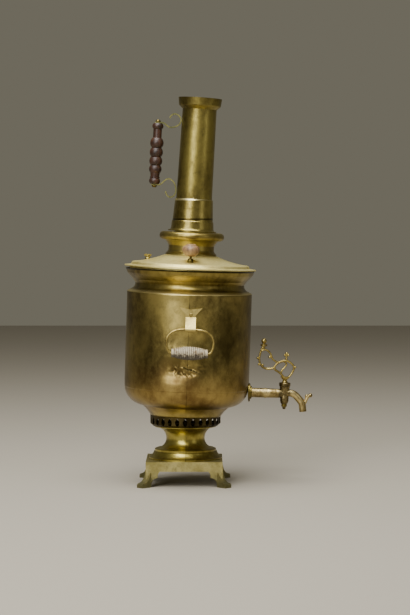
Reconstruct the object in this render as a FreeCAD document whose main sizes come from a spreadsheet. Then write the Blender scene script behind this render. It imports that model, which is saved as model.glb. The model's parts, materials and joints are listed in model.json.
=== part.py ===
"""Charcoal samovar: a brass water vessel round a fire tube, with a lid, a crown and a chimney on top.

Millimetres, +Z up. The origin is on the floor, under the centre of the square base.
The tap is on +X, the two drop handles on -Y and +Y, and the chimney's grip on -X.
The vessel leans on its foot towards the tap, and the lid and the chimney lean a little more.
"""
import FreeCAD, Part
import math
import os
import re
import Sketcher

doc = FreeCAD.newDocument("samovar")
sheet = doc.addObject("Spreadsheet::Sheet", "Dims")

# Driving sizes: one name and one plain number each
SIZES = {
    # Square base with four bracket feet
    "base_width": 152, "plate_top": 50, "plate_thick": 5, "apron_wall": 5, "apron_depth": 19,
    "arch_half": 48, "arch_corner": 12, "leg_inner": 64, "foot_reach": 123.5, "foot_thick": 9,
    "leg_width": 16, "ankle_high": 20, "leg_thick": 13,
    # Pedestal and pierced gallery
    "stem_offset": 2, "sheet_wall": 1.5, "stem_wall": 2, "ring_radius": 73, "ring_edge": 3,
    "ring_curve": 20, "bead_radius": 61.5, "bead_low": 65, "bead_top": 69.5, "cove_radius": 58,
    "waist_radius": 38.5, "waist_high": 90.5, "flare_radius": 62,
    "gallery_radius": 70.5, "gallery_foot": 65, "gallery_high": 20, "gallery_wall": 2,
    "slot_count": 28, "slot_half": 4.5, "slot_high": 16, "slot_curve": 11,
    # Vessel
    "body_lean": 1.9, "cup_radius": 86, "cup_high": 18, "cup_curve": 60, "bowl_high": 55,
    "bowl_curve": 42, "bowl_lip": 2, "body_radius": 125, "body_high": 191,
    "shoulder_in": 117, "shoulder_high": 5.5, "neck_radius": 109, "neck_high": 18, "neck_curve": 12,
    "collar_radius": 121.5, "collar_high": 33.5, "rim_radius": 129, "rim_high": 47,
    "tube_foot_radius": 58, "tube_top_radius": 38, "tube_above_rim": 60, "tube_flange": 66,
    "grate_high": 12, "grate_thick": 5, "grate_gap": 0.6, "grate_holes": 6, "grate_hole_radius": 9,
    "grate_pitch": 32,
    # Lid, knobs and steam vent
    "lid_lean": 0.8, "lid_gap": 2.3, "lid_radius": 131.5, "lid_edge": 2, "lid_step_radius": 117,
    "lid_step_high": 9.5, "lid_cone_radius": 57, "lid_cone_high": 23.5, "lid_cone_curve": 190,
    "lid_hole": 42, "lid_top_high": 1.5, "skirt_radius": 121, "skirt_deep": 8,
    "knob_place": 86, "knob_ground": 12.5, "knob_lift": 12.5, "knob_radius": 17.5, "knob_high": 25,
    "pin_radius": 2.5, "nut_radius": 6, "nut_high": 8, "pin_in_wood": 14,
    "vent_radius": 4, "vent_high": 6.5, "vent_cap_radius": 4.6, "vent_cap_high": 3,
    "wing_span": 14, "wing_thick": 2, "wing_high": 4.5,
    # Crown
    "crown_foot": 51, "crown_neck": 45.5, "crown_high": 45, "crown_rim_radius": 64.6,
    "crown_bead": 8, "crown_foot_curve": 14, "crown_curve": 26, "crown_flare": 54, "crown_bore": 42,
    "crown_gap": 0.2,
    # Chimney
    "chimney_lean": 0.9, "chimney_gap": 1.2, "flange_radius": 48.4, "flange_thick": 2,
    "socket_radius": 42, "socket_high": 18, "socket_curve": 6, "sleeve_radius": 40.3, "sleeve_high": 39.5,
    "sleeve_top": 38, "spigot_radius": 34, "spigot_deep": 25, "sleeve_bevel": 4,
    "pipe_radius": 36, "pipe_top_radius": 33.9, "pipe_foot": 25, "pipe_high": 246,
    "pipe_wall": 1.2, "pipe_gap": 0.4, "rim_band": 43.5, "rim_band_low": 41.8, "rim_band_high": 15,
    "rim_cone_high": 7, "rim_bore": 40.5, "rim_wall": 2,
    # Chimney grip and its two scroll strips
    "grip_place": 81, "grip_low": 90.5, "grip_long": 121, "grip_end": 11,
    "grip_neck": 8.5, "rod_radius": 2.4, "rod_gap": 0.15, "rod_nut_radius": 5.5, "rod_nut_high": 4,
    "strip_thick": 2.6, "strip_width": 9,
    # Drop handles
    "handle_shift": 5, "fish_top": 357, "fish_high": 14.5, "fish_half": 22, "fish_waist": 9,
    "fish_notch": 3, "fish_thick": 2.8, "strap_half": 10, "strap_thick": 2.5, "strap_top": 337,
    "pivot_high": 315.5, "pivot_out": 16.5, "wire_radius": 2.1, "wire_fit": 0.06, "eye_wall": 2.4,
    "bail_half": 45.5, "bail_drop": 46, "bail_flat": 12, "hand_long": 73, "hand_radius": 13.5,
    "hand_collar": 8.5, "hand_collar_long": 6, "hand_barrel_end": 8, "rivet_radius": 3.6,
    "rivet_high": 2.2,
    # Tap
    "tap_high": 186, "tap_reach": 197, "tap_radius": 9.5, "tap_bore": 6, "tap_ring_radius": 10.4,
    "tap_ring_place": 157, "tap_ring_wide": 3, "rose_radius": 18.5, "rose_thick": 3.2,
    "rose_step": 13, "rose_step_thick": 3, "rose_fit": 0.1,
    "house_top": 208, "house_collar": 11.5, "house_collar_high": 7.5, "house_waist": 8,
    "house_waist_high": 184, "house_low": 8.6, "house_low_high": 177, "house_foot": 166,
    "house_foot_radius": 6.8, "plug_top": 6.8, "plug_foot": 4.6, "plug_fit": 0.06, "plug_hole": 3.6,
    "washer_radius": 5.5, "washer_high": 6, "tip_radius": 3.3, "tip_high": 5, "plug_rest": 0.3,
    "spout_radius": 7.2, "spout_reach": 37, "spout_drop": 35, "spout_bore": 4, "outlet_long": 10,
    "key_stem": 5.6, "key_cup": 9.3, "key_cup_low": 7, "key_cup_high": 12, "scroll_wire": 2.1,
    "key_ball": 5.4, "key_ball_out": 44.5, "key_ball_high": 82, "key_collar": 6.8,
}
for row, (name, number) in enumerate(SIZES.items(), start=1):
    sheet.set(f"A{row}", name)
    sheet.set(f"B{row}", str(number))
    sheet.setAlias(f"B{row}", name)
doc.recompute()

NAME = re.compile(r"\b([a-z][a-z0-9_]*)\b(?!\()")


def bound(words):
    """An expression on the sheet's cells, written here with their bare names."""
    return NAME.sub(r"Dims.\1", str(words))


def size(words):
    """The number that an expression on the sheet's names gives."""
    return float(sheet.evalExpression(bound(words)))


def tie(thing, **sizes):
    """Bind each named property of an object to an expression on the sheet."""
    for name, words in sizes.items():
        thing.setExpression(name, bound(words))


def at(across=0, deep=0, high=0):
    """A plain move, from expressions."""
    return FreeCAD.Placement(FreeCAD.Vector(size(across), size(deep), size(high)), FreeCAD.Rotation())


def turn_about(axis, degrees, centre=(0, 0, 0)):
    """A turn round an axis through a point."""
    turn = FreeCAD.Rotation(FreeCAD.Vector(*axis), degrees)
    return FreeCAD.Placement(FreeCAD.Vector(), turn, FreeCAD.Vector(*centre))


# Heights that several pieces share
GALLERY_SEAT = "waist_high + flare_radius - waist_radius + stem_wall"
BODY_SEAT = "waist_high + flare_radius - waist_radius + stem_wall + gallery_high"
BODY_LOW = BODY_SEAT + " + bowl_high"
BODY_TOP = BODY_LOW + " + body_high"
RIM_TOP = BODY_TOP + " + rim_high"
LID_SEAT = RIM_TOP + " + lid_gap"
CROWN_SEAT = LID_SEAT + " + lid_cone_high + lid_top_high + sheet_wall + crown_gap"
CROWN_TOP = CROWN_SEAT + " + crown_high"
CHIMNEY_SEAT = CROWN_TOP + " + chimney_gap"
GRIP_LOW = CHIMNEY_SEAT + " + grip_low"

# Where each group stands: the base is level, the rest leans towards +X about the Y axis
LEVEL = FreeCAD.Placement()
STEM = at("stem_offset")
VESSEL = STEM * turn_about((0, 1, 0), size("body_lean"), (0, 0, size(BODY_SEAT)))
COVER = VESSEL * turn_about((0, 1, 0), size("lid_lean"), (0, 0, size(RIM_TOP)))
CHIMNEY = COVER * turn_about((0, 1, 0), size("chimney_lean"), (0, 0, size(CROWN_TOP)))
FRONT = VESSEL
BACK = VESSEL * turn_about((0, 0, 1), 180)

nodes = []


def keep(thing, label, place=LEVEL):
    """Name a finished piece and set it in its place."""
    thing.Label = label
    thing.Placement = place * thing.Placement
    nodes.append(thing)
    return thing


def new_body(name):
    """An empty body for one turned or cast piece."""
    return doc.addObject("PartDesign::Body", name)


def new_sketch(body, name, plane="XZ_Plane", offset=None):
    """A sketch on one of the body's own origin planes."""
    sketch = body.newObject("Sketcher::SketchObject", name)
    planes = [p for p in body.Origin.OriginFeatures if p.Role == plane]
    sketch.AttachmentSupport = [(planes[0], "")]
    sketch.MapMode = "FlatFace"
    if offset is not None:
        sketch.AttachmentOffset = offset
    return sketch


def bulge(start, finish, radius, side):
    """The middle of an arc of that radius, to the left (+1) or right (-1) of the way it goes."""
    chord = finish - start
    half = chord.Length / 2
    rise = radius - math.sqrt(max(radius * radius - half * half, 0.0))
    left = FreeCAD.Vector(-chord.y, chord.x, 0).normalize()
    return (start + finish) * 0.5 + left * (rise * side)


def outline(sketch, corners, arcs=None):
    """A closed outline through corners given as expressions; arcs maps a side to (radius, side)."""
    arcs = arcs or {}
    places = [FreeCAD.Vector(size(a), size(b), 0) for a, b in corners]
    count = len(places)
    ends = []
    for i, start in enumerate(places):
        finish = places[(i + 1) % count]
        if i in arcs:
            radius, side = arcs[i]
            curve = Part.Arc(start, bulge(start, finish, size(radius), side), finish)
        else:
            curve = Part.LineSegment(start, finish)
        line = sketch.addGeometry(curve)
        first = 1 if sketch.getPoint(line, 1).distanceToPoint(start) < 1e-5 else 2
        ends.append((line, first))
    for i, (line, first) in enumerate(ends):
        after, its_first = ends[(i + 1) % count]
        sketch.addConstraint(Sketcher.Constraint("Coincident", line, 3 - first, after, its_first))
    for i, (line, first) in enumerate(ends):
        for kind, words, number in (("DistanceX", corners[i][0], places[i].x),
                                    ("DistanceY", corners[i][1], places[i].y)):
            rule = sketch.addConstraint(Sketcher.Constraint(kind, -1, 1, line, first, number))
            sketch.setExpression(f"Constraints[{rule}]", bound(words))
        if i in arcs:
            rule = sketch.addConstraint(Sketcher.Constraint("Radius", line, size(arcs[i][0])))
            sketch.setExpression(f"Constraints[{rule}]", bound(arcs[i][0]))


def turned(name, corners, arcs=None):
    """A body turned round its own Z axis from an outline of (radius, height) corners."""
    body = new_body(name)
    sketch = new_sketch(body, name + "_outline")
    outline(sketch, corners, arcs)
    turn = body.newObject("PartDesign::Revolution", name + "_turned")
    turn.Profile = sketch
    turn.ReferenceAxis = (sketch, ["V_Axis"])
    turn.Angle = 360
    doc.recompute()
    return body


def pocket(body, name, corners, arcs=None, plane="XZ_Plane", both=True, offset=None):
    """A cut through a body along the normal of one of its planes, checked to take something away."""
    before = body.Shape.Volume
    sketch = new_sketch(body, name + "_outline", plane, offset)
    outline(sketch, corners, arcs)
    cut = body.newObject("PartDesign::Pocket", name)
    cut.Profile = sketch
    cut.Type = 1
    cut.Midplane = both
    doc.recompute()
    if not both and body.Shape.Volume > before - 1e-3:
        cut.Reversed = True
        doc.recompute()
    assert body.Shape.Volume < before - 1e-3, name
    return cut


def round_the_axis(body, name, feature, count):
    """Copies of a feature, evenly round the body's Z axis."""
    pattern = body.newObject("PartDesign::PolarPattern", name)
    pattern.Originals = [feature]
    pattern.Axis = (feature.Profile[0], ["V_Axis"])
    pattern.Angle = 360
    tie(pattern, Occurrences=count)
    body.Tip = pattern
    doc.recompute()
    return pattern


def pad(body, name, corners, length, arcs=None, plane="XZ_Plane", both=True, offset=None, holes=()):
    """A slab from an outline, with any holes in it."""
    sketch = new_sketch(body, name + "_outline", plane, offset)
    outline(sketch, corners, arcs)
    for hole in holes:
        outline(sketch, hole)
    slab = body.newObject("PartDesign::Pad", name)
    slab.Profile = sketch
    slab.Midplane = both
    tie(slab, Length=length)
    doc.recompute()
    return slab


def square(half):
    """The corners of a square about the origin."""
    return [(f"-({half})", f"-({half})"), (half, f"-({half})"), (half, half), (f"-({half})", half)]


def primitive(kind, name, place=LEVEL, **sizes):
    """A Part primitive with its sizes bound to the sheet."""
    thing = doc.addObject("Part::" + kind, name)
    tie(thing, **sizes)
    thing.Placement = place
    return thing


def joined(name, pieces):
    """One solid from pieces that touch or cross."""
    whole = doc.addObject("Part::MultiFuse", name)
    whole.Shapes = pieces
    whole.Refine = True
    doc.recompute()
    return whole


def cut_by(name, base, tool):
    """A base with a tool taken away."""
    rest = doc.addObject("Part::Cut", name)
    rest.Base = base
    rest.Tool = tool
    rest.Refine = True
    doc.recompute()
    return rest


def rail(name, points, first=None, last=None):
    """A smooth line through (across, high) places in the XZ plane, with optional end directions."""
    spline = Part.BSplineCurve()
    places = [FreeCAD.Vector(size(a), 0, size(b)) for a, b in points]
    if first and last:
        spline.interpolate(Points=places, InitialTangent=FreeCAD.Vector(first[0], 0, first[1]),
                           FinalTangent=FreeCAD.Vector(last[0], 0, last[1]))
    else:
        spline.interpolate(places)
    line = doc.addObject("Part::Feature", name)
    line.Shape = Part.Wire([spline.toShape()])
    return line


def facing(line):
    """The placement at a rail's start, with Z along it and Y kept level."""
    edge = line.Shape.Edges[0]
    way = edge.tangentAt(edge.FirstParameter)
    level = FreeCAD.Vector(0, 1, 0)
    turn = FreeCAD.Rotation(level.cross(way), level, way, "ZXY")
    return FreeCAD.Placement(edge.valueAt(edge.FirstParameter), turn)


def swept(name, line, section):
    """A section carried along a rail."""
    section.Placement = facing(line)
    sweep = doc.addObject("Part::Sweep", name)
    sweep.Sections = [section]
    sweep.Spine = (line, ["Edge1"])
    sweep.Solid = True
    sweep.Frenet = False
    doc.recompute()
    return sweep


def wire_along(name, points, radius, first=None, last=None):
    """A round wire along a rail."""
    circle = primitive("Circle", name + "_section", Radius=radius)
    return swept(name, rail(name + "_rail", points, first, last), circle)


def strip_along(name, points, first=None, last=None):
    """A flat strip along a rail, its width along Y."""
    flat = doc.addObject("Part::Plane", name + "_section")
    tie(flat, Length="strip_thick", Width="strip_width")
    line = rail(name + "_rail", points, first, last)
    sweep = swept(name, line, flat)
    flat.Placement = facing(line) * at("-strip_thick / 2", "-strip_width / 2")
    doc.recompute()
    return sweep


# Base: a square cast plate on an apron with four arches and four bracket feet
casting = new_body("base_casting")
pad(casting, "plate", square("base_width / 2"), "plate_thick", plane="XY_Plane", both=False,
    offset=at(high="plate_top - plate_thick"))
pad(casting, "apron", square("base_width / 2"), "plate_top - foot_thick - 1", plane="XY_Plane",
    both=False, offset=at(high="foot_thick"), holes=[square("base_width / 2 - apron_wall")])
ARCH_TOP = "plate_top - apron_depth"
arch = pocket(casting, "arch",
              [("-leg_inner - 4", "-1"), ("-leg_inner", "foot_thick + 4"),
               ("-arch_half - 4", ARCH_TOP + " - arch_corner"), ("-arch_half", ARCH_TOP),
               ("arch_half", ARCH_TOP), ("arch_half + 4", ARCH_TOP + " - arch_corner"),
               ("leg_inner", "foot_thick + 4"), ("leg_inner + 4", "-1")],
              {1: ("arch_corner * 2", 1), 2: ("arch_corner", 1), 4: ("arch_corner", 1),
               5: ("arch_corner * 2", 1)})
round_the_axis(casting, "arches", arch, "4")
CORNER = "base_width / 2 * 1.4142"
DIAGONAL = FreeCAD.Placement(FreeCAD.Vector(), FreeCAD.Rotation(FreeCAD.Vector(0, 1, 0), 45))
foot = pad(casting, "foot",
           [(CORNER + " - leg_thick - 4", "foot_thick + ankle_high"),
            (CORNER + " - 6", "foot_thick + ankle_high"),
            (CORNER + " + 2", "foot_thick + 4"), ("foot_reach - 3", "foot_thick"),
            ("foot_reach", "foot_thick - 3"),
            ("foot_reach", "0"), (CORNER + " - leg_thick + 6", "0"), (CORNER + " - leg_thick + 4",
                                                                      "foot_thick")],
           "leg_width", {1: ("ankle_high * 1.5", -1), 2: ("ankle_high", -1), 7: ("ankle_high * 1.5", 1)},
           offset=DIAGONAL)
round_the_axis(casting, "feet", foot, "4")
keep(casting, "base_casting")

# Pedestal: a spun hollow foot with a ring, a bead, a cove and a flare
COVE = "waist_high - cove_radius + waist_radius"
FLARE_TOP = "waist_high + flare_radius - waist_radius"
keep(turned("pedestal",
            [("ring_radius - stem_wall", "plate_top"), ("ring_radius", "plate_top"),
             ("ring_radius", "plate_top + ring_edge"), ("bead_radius + 1.5", "bead_low"),
             ("bead_radius", "bead_low + 1"), ("bead_radius", "bead_top"), ("cove_radius", COVE),
             ("waist_radius", "waist_high"), ("flare_radius", FLARE_TOP),
             ("flare_radius", FLARE_TOP + " + stem_wall"),
             ("waist_radius - stem_wall", "waist_high"), ("cove_radius", COVE + " - stem_wall"),
             ("bead_radius - stem_wall", "bead_low - stem_wall")],
            {2: ("ring_curve", 1), 6: ("cove_radius - waist_radius", 1),
             7: ("flare_radius - waist_radius", 1), 9: ("flare_radius - waist_radius + stem_wall", -1),
             10: ("cove_radius - waist_radius + stem_wall", -1)}),
     "pedestal", STEM)

# Gallery: a pierced ring under the vessel, lower on the side to which the vessel leans
GALLERY_TOP = GALLERY_SEAT + " + gallery_high"
ring = turned("gallery_ring",
              [("flare_radius - 4", GALLERY_SEAT), ("gallery_foot", GALLERY_SEAT),
               ("gallery_radius", GALLERY_SEAT + " + 5"), ("gallery_radius", GALLERY_TOP + " + 4"),
               ("gallery_radius - gallery_wall", GALLERY_TOP + " + 4"),
               ("gallery_radius - gallery_wall", GALLERY_SEAT + " + 5 + gallery_wall / 2"),
               ("gallery_foot - gallery_wall / 2", GALLERY_SEAT + " + gallery_wall"),
               ("flare_radius - 4", GALLERY_SEAT + " + gallery_wall")])
SLOT_LOW = GALLERY_SEAT + " + gallery_high / 2 - slot_high / 2 + 0.5"
slot = pocket(ring, "slot", [("0", SLOT_LOW), ("slot_half", SLOT_LOW + " + slot_high / 2"),
                             ("0", SLOT_LOW + " + slot_high"),
                             ("-slot_half", SLOT_LOW + " + slot_high / 2")],
              {0: ("slot_curve", -1), 1: ("slot_curve", -1), 2: ("slot_curve", -1), 3: ("slot_curve", -1)},
              both=False)
round_the_axis(ring, "slots", slot, "slot_count")
SLOPE = f"gallery_radius * 1.2 * {math.tan(math.radians(size('body_lean'))):.6f}"
pocket(ring, "lean_cut",
       [("-gallery_radius * 1.2", GALLERY_TOP + " + " + SLOPE),
        ("gallery_radius * 1.2", GALLERY_TOP + " - " + SLOPE),
        ("gallery_radius * 1.2", GALLERY_TOP + " + 20"), ("-gallery_radius * 1.2", GALLERY_TOP + " + 20")])
keep(ring, "gallery_ring", STEM)

# Vessel bottom: an inner ring, a flared cup and a rounded bowl
BOWL_LOW = BODY_SEAT + " + cup_high + bowl_lip"
keep(turned("body_bottom",
            [("tube_foot_radius + 2", BODY_SEAT), ("gallery_radius", BODY_SEAT),
             ("cup_radius", BODY_SEAT + " + cup_high"), ("cup_radius + bowl_lip", BOWL_LOW),
             ("body_radius", BODY_LOW), ("body_radius - sheet_wall", BODY_LOW),
             ("cup_radius + bowl_lip", BOWL_LOW + " + sheet_wall"),
             ("cup_radius - sheet_wall", BODY_SEAT + " + cup_high + sheet_wall"),
             ("gallery_radius - sheet_wall", BODY_SEAT + " + sheet_wall"),
             ("tube_foot_radius + 2", BODY_SEAT + " + sheet_wall")],
            {1: ("cup_curve", 1), 3: ("bowl_curve", -1), 5: ("bowl_curve - sheet_wall", 1),
             7: ("cup_curve", -1)}),
     "body_bottom", VESSEL)

# Vessel wall: one straight cylinder with a hole for the tap
wall = turned("wall_shell",
              [("body_radius - sheet_wall", BODY_LOW), ("body_radius", BODY_LOW),
               ("body_radius", BODY_TOP), ("body_radius - sheet_wall", BODY_TOP)])
tap_hole = primitive("Cylinder", "tap_hole", at("body_radius - 10", 0, "tap_high") * turn_about((0, 1, 0),
                                                                                                90),
                     Radius="tap_bore", Height="20")
keep(cut_by("wall_with_hole", wall, tap_hole), "body_wall", VESSEL)

# Neck: a ledge, a hollow and a flared rim that carries the lid
keep(turned("neck_ring",
            [("body_radius - sheet_wall - 1", BODY_TOP), ("body_radius - 0.5", BODY_TOP),
             ("body_radius - 0.5", BODY_TOP + " + sheet_wall"),
             ("shoulder_in", BODY_TOP + " + shoulder_high"),
             ("neck_radius", BODY_TOP + " + neck_high"), ("neck_radius + 4",
                                                          BODY_TOP + " + neck_high + 6.5"),
             ("collar_radius", BODY_TOP + " + collar_high"), ("collar_radius + 3.5",
                                                              BODY_TOP + " + collar_high + 4"),
             ("rim_radius", BODY_TOP + " + rim_high"), ("rim_radius - sheet_wall",
                                                        BODY_TOP + " + rim_high"),
             ("collar_radius + 1.5", BODY_TOP + " + collar_high + 4.5"),
             ("collar_radius - 2", BODY_TOP + " + collar_high + 1"),
             ("neck_radius + 2.5", BODY_TOP + " + neck_high + 7"),
             ("neck_radius - sheet_wall", BODY_TOP + " + neck_high"),
             ("shoulder_in - sheet_wall", BODY_TOP + " + shoulder_high - 1"),
             ("body_radius - sheet_wall - 1", BODY_TOP + " + 0.8")],
            {3: ("neck_curve", 1), 13: ("neck_curve + sheet_wall", -1)}),
     "neck_ring", VESSEL)

# Fire tube: a cone from the vessel's bottom to above the lid, open at both ends
TUBE_LOW = BODY_SEAT + " + sheet_wall"
TUBE_TOP = RIM_TOP + " + tube_above_rim"
keep(turned("fire_tube",
            [("tube_foot_radius - sheet_wall", TUBE_LOW), ("tube_flange", TUBE_LOW),
             ("tube_flange", TUBE_LOW + " + sheet_wall"), ("tube_foot_radius", TUBE_LOW + " + sheet_wall"),
             ("tube_top_radius", RIM_TOP), ("tube_top_radius", TUBE_TOP),
             ("tube_top_radius - sheet_wall", TUBE_TOP), ("tube_top_radius - sheet_wall", RIM_TOP)]),
     "fire_tube", VESSEL)

# Fire grate: a cast disc with a ring of holes, low in the fire tube
GRATE_LOW = TUBE_LOW + " + grate_high"
TUBE_RUN = f"({RIM_TOP} - ({TUBE_LOW}))"
TUBE_SLOPE = f"(tube_foot_radius - tube_top_radius) / {TUBE_RUN}"
GRATE_RADIUS = f"tube_foot_radius - sheet_wall - grate_gap - {TUBE_SLOPE} * (grate_high + grate_thick)"
grate = turned("grate_disc", [("0", GRATE_LOW), (GRATE_RADIUS, GRATE_LOW),
                              (GRATE_RADIUS, GRATE_LOW + " + grate_thick"),
                              ("0", GRATE_LOW + " + grate_thick")])
draughts = [primitive("Cylinder", "draught_middle", at(high=GRATE_LOW + " - 5"),
                      Radius="grate_hole_radius", Height="grate_thick + 10")]
for i in range(int(size("grate_holes"))):
    spot = turn_about((0, 0, 1), 360 / size("grate_holes") * i) * at("grate_pitch", 0, GRATE_LOW + " - 5")
    draughts.append(primitive("Cylinder", f"draught_{i}", spot, Radius="grate_hole_radius",
                              Height="grate_thick + 10"))
keep(cut_by("grate_with_holes", grate, joined("draughts", draughts)), "fire_grate", VESSEL)

# Lid: a flat edge, a step and a hollow cone up to the crown's seat, with a skirt inside the rim
CONE_TOP = LID_SEAT + " + lid_cone_high"
LID_TOP = CONE_TOP + " + lid_top_high"
STEP_TOP = LID_SEAT + " + lid_step_high"
LID_OUTSIDE = [("lid_radius", LID_SEAT + " + lid_edge"), ("lid_step_radius + 2",
                                                          LID_SEAT + " + lid_edge + 1.5"),
               ("lid_step_radius", STEP_TOP + " - 1.3"), ("lid_step_radius - 3", STEP_TOP),
               ("lid_cone_radius", CONE_TOP),
               ("crown_foot - 2", LID_TOP + " + sheet_wall")]
lid = turned("lid_shell",
             [("skirt_radius", LID_SEAT), ("lid_radius", LID_SEAT)] + LID_OUTSIDE +
             [("lid_hole", LID_TOP + " + sheet_wall"), ("lid_hole", LID_TOP), ("crown_foot - 2", LID_TOP),
              ("lid_cone_radius", CONE_TOP + " - sheet_wall"),
              ("lid_step_radius - 4", STEP_TOP + " - sheet_wall"),
              ("lid_step_radius - sheet_wall", STEP_TOP + " - 3"), ("skirt_radius - sheet_wall",
                                                                    LID_SEAT + " + lid_edge"),
              ("skirt_radius - sheet_wall", LID_SEAT + " - skirt_deep"),
              ("skirt_radius", LID_SEAT + " - skirt_deep")],
             {5: ("lid_cone_curve", 1), 11: ("lid_cone_curve", -1)})
vent_hole = primitive("Cylinder", "vent_hole", at("-knob_place", 0, LID_SEAT), Radius="vent_radius - 1.5",
                      Height="50")
keep(cut_by("lid_with_vent", lid, vent_hole), "lid", COVER)


def seated(name, piece, spot):
    """A fitting of the lid with its foot trimmed to the cone that it stands on."""
    block = turned(name + "_ground", [("0", LID_SEAT + " - 20"),
                                      ("lid_radius", LID_SEAT + " - 20")] + LID_OUTSIDE +
                   [("0", LID_TOP + " + sheet_wall")], {5: ("lid_cone_curve", 1)})
    piece.Placement = spot * piece.Placement
    return cut_by(name + "_seated", piece, block)


# Lid knobs: turned wood on a brass pin with a nut at its foot
KNOB_GROUND = LID_SEAT + " + knob_ground"
KNOB_LOW = KNOB_GROUND + " + knob_lift"
KNOB_SHAPE = [("pin_radius + rod_gap", KNOB_LOW), ("knob_radius * 0.42", KNOB_LOW),
              ("knob_radius * 0.62", KNOB_LOW + " + knob_high * 0.16"),
              ("knob_radius", KNOB_LOW + " + knob_high * 0.5"),
              ("knob_radius * 0.72", KNOB_LOW + " + knob_high * 0.82"),
              ("knob_radius * 0.62", KNOB_LOW + " + knob_high * 0.84"),
              ("knob_radius * 0.5", KNOB_LOW + " + knob_high * 0.96"),
              ("knob_radius * 0.4", KNOB_LOW + " + knob_high"),
              ("0", KNOB_LOW + " + knob_high"),
              ("0", KNOB_LOW + " + pin_in_wood"), ("pin_radius + rod_gap", KNOB_LOW + " + pin_in_wood")]
PIN_SHAPE = [("0", KNOB_GROUND), ("nut_radius", KNOB_GROUND), ("nut_radius",
                                                               KNOB_GROUND + " + nut_high * 0.5"),
             ("nut_radius * 0.7", KNOB_GROUND + " + nut_high"), ("pin_radius", KNOB_GROUND + " + nut_high"),
             ("pin_radius", KNOB_LOW + " + pin_in_wood - 1"), ("0", KNOB_LOW + " + pin_in_wood - 1")]
for side, way in (("front", -1), ("back", 1)):
    spot = at(0, f"{way} * knob_place")
    knob = turned(side + "_knob", KNOB_SHAPE, {2: ("knob_radius * 0.7", -1), 3: ("knob_radius * 0.6", -1)})
    keep(knob, side + "_knob", COVER * spot)
    keep(seated(side + "_knob_pin", turned(side + "_pin_shape", PIN_SHAPE), spot), side + "_knob_pin",
         COVER)

# Steam vent: a short pipe on the lid under a cap with two wings
VENT_LOW = KNOB_GROUND
VENT_TOP = VENT_LOW + " + vent_high"
vent_spot = at("-knob_place")
vent = turned("vent_tube", [("vent_radius - 1.5", VENT_LOW), ("vent_radius + 1.5", VENT_LOW),
                            ("vent_radius + 1.5", VENT_LOW + " + 4"), ("vent_radius", VENT_LOW + " + 5.5"),
                            ("vent_radius", VENT_TOP), ("vent_radius - 1.5", VENT_TOP)])
keep(seated("vent", vent, vent_spot), "vent_pipe", COVER)
CAP_LOW = VENT_TOP + " + 0.3"
dome = turned("vent_dome", [("0", CAP_LOW), ("vent_cap_radius", CAP_LOW),
                            ("vent_cap_radius", CAP_LOW + " + vent_cap_high * 0.5"),
                            ("vent_cap_radius * 0.5", CAP_LOW + " + vent_cap_high"),
                            ("0", CAP_LOW + " + vent_cap_high")])
wings = primitive("Box", "vent_wings", at("-wing_span / 2", "-wing_thick / 2", CAP_LOW + " + 0.5"),
                  Length="wing_span", Width="wing_thick", Height="wing_high")
keep(joined("vent_cap_whole", [dome, wings]), "vent_cap", COVER * vent_spot)

# Crown: a hollow neck under a rolled rim, with a flat seat for the chimney
BEAD_HIGH = CROWN_TOP + " - crown_bead"
BEAD_PLACE = "crown_rim_radius - crown_bead"
keep(turned("crown",
            [("crown_foot - sheet_wall", CROWN_SEAT), ("crown_foot", CROWN_SEAT),
             ("crown_foot", CROWN_SEAT + " + 2"),
             ("crown_neck", CROWN_SEAT + " + 9"), ("crown_neck", CROWN_SEAT + " + 18"),
             ("crown_flare", BEAD_HIGH + " - crown_bead"),
             (BEAD_PLACE, BEAD_HIGH + " - crown_bead"), ("crown_rim_radius", BEAD_HIGH),
             (BEAD_PLACE, CROWN_TOP),
             ("crown_bore", CROWN_TOP), ("crown_bore", CROWN_TOP + " - sheet_wall"),
             ("crown_flare - 1", CROWN_TOP + " - sheet_wall"),
             ("crown_flare - 1", BEAD_HIGH + " - crown_bead + 1"),
             ("crown_neck - sheet_wall", CROWN_SEAT + " + 18"), ("crown_neck - sheet_wall",
                                                                 CROWN_SEAT + " + 9")],
            {2: ("crown_foot_curve", 1), 4: ("crown_curve", 1), 6: ("crown_bead", -1),
             7: ("crown_bead", -1),
             12: ("crown_curve + sheet_wall", -1)}),
     "crown", COVER)

# Chimney foot: a spigot in the crown, a flange, a socket and a tapered sleeve
SOCKET_TOP = CHIMNEY_SEAT + " + flange_thick + socket_high"
SLEEVE_TOP = SOCKET_TOP + " + 1.5 + sleeve_high"
keep(turned("chimney_foot",
            [("spigot_radius - sheet_wall", CHIMNEY_SEAT + " - spigot_deep"),
             ("spigot_radius", CHIMNEY_SEAT + " - spigot_deep"),
             ("spigot_radius", CHIMNEY_SEAT), ("flange_radius", CHIMNEY_SEAT),
             ("flange_radius", CHIMNEY_SEAT + " + flange_thick"),
             ("socket_radius + 2.5", CHIMNEY_SEAT + " + flange_thick + 1"),
             ("socket_radius + 0.5", CHIMNEY_SEAT + " + flange_thick + 5"),
             ("socket_radius - 0.5", SOCKET_TOP), ("sleeve_radius", SOCKET_TOP + " + 1.5"),
             ("sleeve_top", SLEEVE_TOP),
             ("sleeve_top", SLEEVE_TOP + " + 1"), ("pipe_radius + pipe_gap + 0.5",
                                                   SLEEVE_TOP + " + sleeve_bevel"),
             ("pipe_radius + pipe_gap", SLEEVE_TOP + " + sleeve_bevel"), ("pipe_radius + pipe_gap",
                                                                          SLEEVE_TOP + " - pipe_foot - 2"),
             ("spigot_radius - sheet_wall", CHIMNEY_SEAT + " + flange_thick + 1")],
            {5: ("socket_curve", 1)}),
     "chimney_foot", CHIMNEY)

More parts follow.
